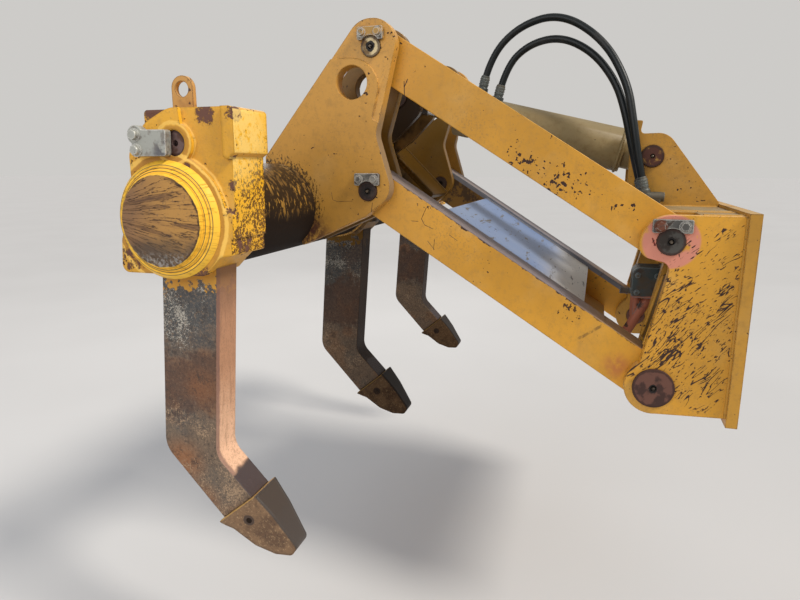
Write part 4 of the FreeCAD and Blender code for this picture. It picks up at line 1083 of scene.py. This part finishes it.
# Lift cylinder: a welded barrel sprayed yellow with the rest and since dulled to olive, a chromed
# rod greased at its eye, and steel port sleeves.
PAINT_OLIVE = (0.26, 0.19, 0.083)
TOWARDS_ROD = (-0.97266, 0.23224)
BARREL_RADIUS = 0.073
BARREL_SEAMS = (0.101, 0.6345)
barrel_paint = worn_paint("barrel_paint", 36.0, chipping=-0.02, dirt=0.5, base=PAINT_OLIVE).close()
dress(barrel_paint, "lift_cylinder_barrel")
barrel_rings = []
for station in BARREL_SEAMS:
    middle = (TOWER_PIN[0] + station * TOWARDS_ROD[0], TOWER_PIN[1] + station * TOWARDS_ROD[1])
    angles = [math.radians(10.0 * step) for step in range(36)]
    circle = [(BARREL_RADIUS * math.cos(a),
               middle[0] - BARREL_RADIUS * math.sin(a) * TOWARDS_ROD[1],
               middle[1] + BARREL_RADIUS * math.sin(a) * TOWARDS_ROD[0]) for a in angles]
    barrel_rings.append(circle + circle[:1])
weld.grow("barrel_welds", wires(barrel_rings), "lift_cylinder_barrel", Finish=barrel_paint)
chrome = Finish("chromed_rod", (0.56, 0.55, 0.53), 0.16, metallic=1.0)
chrome.layer(chrome.near((0.0, *ROD_PIN), 0.105, 0.004), GREASE, roughness=0.35, metallic=0.0)
chrome.layer(chrome.patches(0.54, 0.64, 7.0, detail=7.0, seed=4.0), GREASE_THIN, roughness=0.4,
             metallic=0.0)
dress(chrome.close(), "lift_cylinder_rod")
fitting = Finish("hydraulic_steel", (0.050, 0.056, 0.050), 0.45, metallic=0.3)
fitting.layer(fitting.patches(0.45, 0.64, 12.0, detail=7.0), (0.105, 0.085, 0.055),
              roughness=0.65, metallic=0.0)
fitting.layer(fitting.over(fitting.edges(0.004), 0.03, 0.08), (0.22, 0.24, 0.22), roughness=0.35)
dress(fitting.close(), "cylinder_port_fittings", "hose_fittings", edge=0.0015)


# Valve block: a grey-green block in the bracket that the hoses lead to, dull with oil and dust,
# with four bolts through its near face, red lead paint on its lower neck and painted highlights
# along its edges.
block = Finish("valve_block", (0.045, 0.066, 0.070), 0.4, metallic=0.2)
block.layer(block.patches(0.45, 0.62, 13.0, detail=7.0), (0.085, 0.060, 0.036), roughness=0.7,
            metallic=0.0)
block.layer(block.under(block.along("Z") + block.grain(20.0) * 0.02, 0.004, 0.010),
            (0.44, 0.15, 0.085), roughness=0.55)
block.layer(block.patches(0.56, 0.66, 30.0, detail=6.0, seed=5.0), (0.06, 0.035, 0.025))
# Painted highlights along the block's edges.
block.layer(block.over(block.edges(0.006), 0.015, 0.05), (0.20, 0.235, 0.24), roughness=0.35)
dress(block.close(), "hydraulic_flange")
BLOCK_FACE = 0.234
flange_bolts = [((BLOCK_FACE, y, z), (1, 0, 0))
                for y in (-0.262, -0.204) for z in (0.010, 0.066)]
bolt.grow("flange_bolts", aimed(flange_bolts), "hydraulic_flange", Finish=block.material,
          Radius=0.0075, Height=0.0060)


# Hoses: two wire-braided rubber hydraulic hoses, 25 mm across, that arch over the lift cylinder
# from its ports to the elbows at the tower's foot.
HOSE_DIAMETER = 0.025
ROD_SIDE_ROUTE = (
    (0, -0.820, 0.692), (0.004, -0.797, 0.789), (0.018, -0.700, 0.883), (0.045, -0.559, 0.910),
    (0.090, -0.416, 0.813), (0.132, -0.333, 0.670), (0.157, -0.306, 0.538),
    (0.163, -0.287, 0.438), (0.165, -0.263, 0.341),
)
BASE_SIDE_ROUTE = (
    (0, -0.764, 0.659), (0.002, -0.739, 0.756), (0.012, -0.661, 0.824), (0.032, -0.553, 0.838),
    (0.064, -0.445, 0.778), (0.098, -0.369, 0.679), (0.124, -0.334, 0.582),
    (0.131, -0.303, 0.458), (0.133, -0.267, 0.336),
)
rubber = Finish("hose_rubber", (0.006, 0.009, 0.010), 0.36, shine=0.28)
rubber.layer(rubber.patches(0.5, 0.8, 14.0, detail=6.0) * 0.4, (0.06, 0.055, 0.05),
             roughness=0.7)
rubber.relief = rubber.relief + rubber.grain(900.0, detail=2.0)
rubber.close(0.0002)


def hose(node, route):
    """Round hose along a NURBS line, from its port on the barrel to its elbow on the bracket."""
    line = bpy.data.curves.new(node + "_line", "CURVE")
    line.dimensions = "3D"
    line.resolution_u = 16
    spline = line.splines.new("NURBS")
    spline.points.add(len(route) - 1)
    for point, place in zip(spline.points, route):
        point.co = (*place, 1.0)
    spline.order_u = 3
    spline.use_endpoint_u = True
    guide = bpy.data.objects.new(node + "_line", line)
    scene.collection.objects.link(guide)
    path = [tuple(vertex.co) for vertex in evaluated_mesh(guide).vertices]
    line.bevel_depth = HOSE_DIAMETER / 2
    line.bevel_resolution = 5
    line.use_fill_caps = True
    mesh = evaluated_mesh(guide)
    bpy.data.objects.remove(guide)
    mesh.shade_smooth()
    mesh.materials.clear()
    mesh.materials.append(rubber.material)
    tube = bpy.data.objects.new(node + "_rubber", mesh)
    scene.collection.objects.link(tube)
    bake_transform(tube)
    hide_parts(node)


hose("hose_rod_side", ROD_SIDE_ROUTE)
hose("hose_base_side", BASE_SIDE_ROUTE)


# Hose ends: crimped steel sleeves with three ribs and a union nut, one at each end of each hose.
# They keep to the barrel and the bracket.
crimp = Growth("hose_end", Radius=0.0162)
ribs = [crimp.bar(24, crimp.given("Radius") * 1.09, low, low + 0.004, bevel=0.05)
        for low in (0.003, 0.012, 0.021)]
crimp.stand(crimp.bar(24, crimp.given("Radius"), -0.004, 0.034, bevel=0.1),
            crimp.bar(6, crimp.given("Radius") * 1.30, -0.024, -0.006, bevel=0.08), *ribs)


def hose_ends(first, second):
    """Spots at the ends of both hoses, aimed along them, from an end's index and the next one."""
    return [(route[first], Vector(route[second]) - Vector(route[first]))
            for route in (ROD_SIDE_ROUTE, BASE_SIDE_ROUTE)]


crimp.grow("barrel_hose_ends", aimed(hose_ends(0, 1)), "cylinder_port_fittings",
           Finish=fitting.material)
crimp.grow("bracket_hose_ends", aimed(hose_ends(-1, -2)), "hose_fittings",
           Finish=fitting.material)
